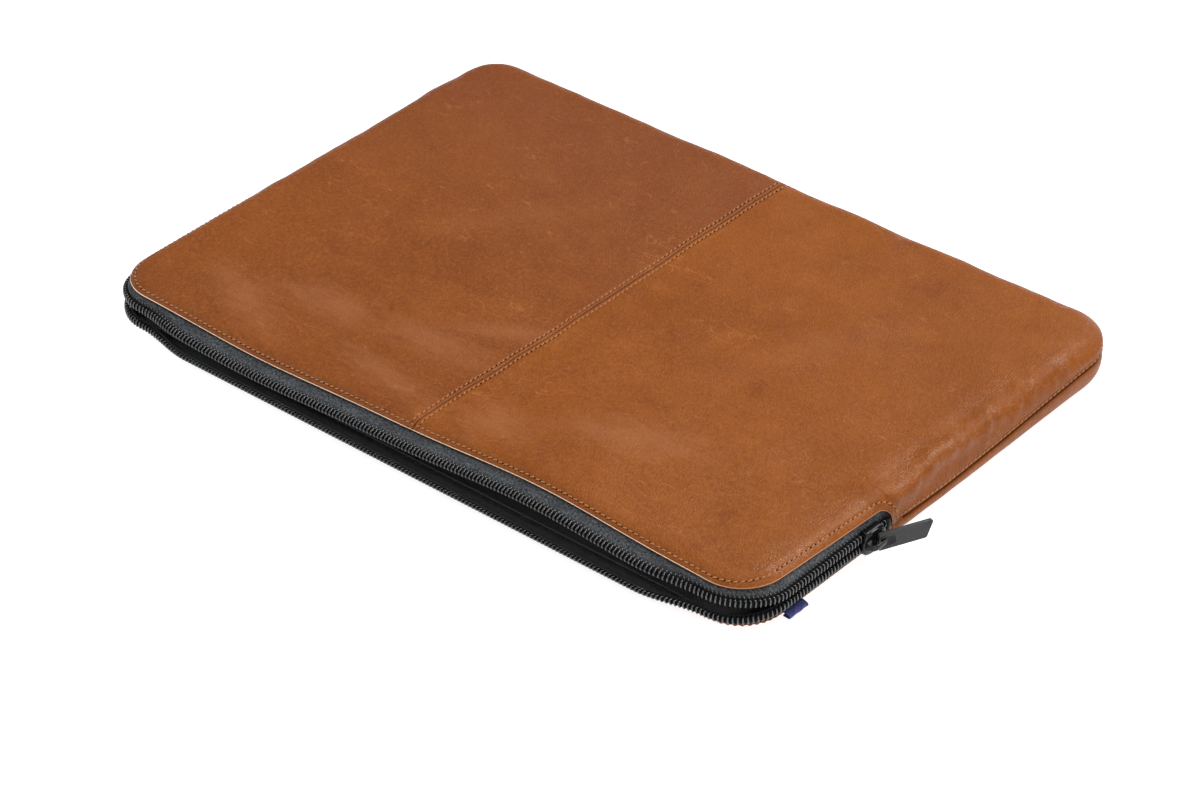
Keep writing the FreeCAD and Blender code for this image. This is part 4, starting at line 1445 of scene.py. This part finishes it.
def tab_piece():
    """Small folded ribbon sewn under the lower lip."""
    low, high = corners("side_tab")
    ys = np.linspace(low[1] + 1.5, high[1] - 1.5, 29)
    reach = 0.68 * (high[0] - low[0])
    knots = [(share * reach, z) for share, z in TAB_FOLD]
    line = smooth_path(knots + [(reach, 0.0)] + [(x, -z) for x, z in knots[::-1]], 33)
    run = unit(np.gradient(line, axis=0))
    normal = np.column_stack([-run[:, 1], run[:, 0]])
    middle = (low[2] + high[2]) / 2
    points = []
    for thickness in (0.0, TAB_THICK):
        for i, y in enumerate(ys):
            x, z = (line + normal * thickness).T
            ruffle = 0.12 * np.sin(i * 0.5 + line[:, 0]) * x / reach
            z = middle + z - TAB_TILT * x + ruffle
            points.append(np.column_stack([low[0] + x - TAB_THICK, np.full(len(x), y), z]))
    tab = build("woven_tab", np.concatenate(points), sheet_faces(len(ys), len(line)), tab_cloth)
    attach(tab, "sleeve", "woven_tab", "side_tab")


tab_piece()


# Floor, lights and camera

def floor_material():
    look = Look("pale_floor")
    grain = look.noise(look.add("TexCoord").outputs["Object"], 0.02, 3.0)
    return look.finish({
        "Base Color": look.mix(look.remap(grain, 0.3, 0.7), (0.38, 0.39, 0.40), (0.40, 0.41, 0.42)),
        "Roughness": 0.30,
        "Specular IOR Level": 0.25,
        "Emission Color": (1.0, 1.0, 1.0),
        "Emission Strength": 0.88,
    })


FLOOR_REACH = 6000.0
FLOOR_Z = -0.05


def make_floor():
    square = [(x * FLOOR_REACH, y * FLOOR_REACH, FLOOR_Z) for x, y in ((-1, -1), (1, -1), (1, 1), (-1, 1))]
    build("floor", square, [[0, 1, 2, 3]], floor_material(), fix=False)


def soft_light(name, place_m, target_m, size, power, colour=(1.0, 1.0, 1.0)):
    data = bpy.data.lights.new(name, "AREA")
    data.shape = "RECTANGLE"
    data.size, data.size_y = size
    data.energy = power
    data.color = colour
    lamp = bpy.data.objects.new(name, data)
    bpy.context.scene.collection.objects.link(lamp)
    lamp.location = place_m
    lamp.rotation_mode = "QUATERNION"
    lamp.rotation_quaternion = (Vector(target_m) - Vector(place_m)).to_track_quat("-Z", "Y")


make_floor()
soft_light("key_back", (0.25, 1.15, 1.25), (0.0, 0.0, 0.0), (1.2, 0.7), 25.5)
soft_light("fill_right", (1.35, -0.30, 0.50), (0.1, 0.0, 0.0), (0.6, 0.5), 8.0, (1.0, 0.93, 0.86))
soft_light("fill_left", (-1.2, -0.9, 0.95), (0.0, -0.05, 0.0), (0.8, 0.8), 10.0)
soft_light("top_soft", (0.1, -0.1, 1.7), (0.0, 0.0, 0.0), (1.4, 1.4), 16.0)

world = bpy.data.worlds.new("studio")
world.use_nodes = True
background = world.node_tree.nodes["Background"]
background.inputs["Color"].default_value = (1.0, 1.0, 1.0, 1.0)
background.inputs["Strength"].default_value = 0.21
bpy.context.scene.world = world
bpy.context.scene.view_settings.view_transform = "Standard"

AZIMUTH = math.radians(41.47)
ELEVATION = math.radians(34.93)
ROLL = math.radians(-1.03)
TARGET = Vector((0.02131, -0.02983, 0.0))
DISTANCE = 1.7048
LENS = 128.6


def make_camera():
    flat = math.cos(ELEVATION)
    back = Vector((math.sin(AZIMUTH) * flat, -math.cos(AZIMUTH) * flat, math.sin(ELEVATION)))
    right = Vector((math.cos(AZIMUTH), math.sin(AZIMUTH), 0.0))
    up = back.cross(right)
    x_axis = math.cos(ROLL) * right + math.sin(ROLL) * up
    y_axis = -math.sin(ROLL) * right + math.cos(ROLL) * up
    data = bpy.data.cameras.new("camera")
    data.sensor_width = 36.0
    data.lens = LENS
    camera = bpy.data.objects.new("camera", data)
    bpy.context.scene.collection.objects.link(camera)
    turn = Matrix((x_axis, y_axis, back)).transposed().to_4x4()
    turn.translation = TARGET + back * DISTANCE
    camera.matrix_world = turn
    bpy.context.scene.camera = camera


make_camera()
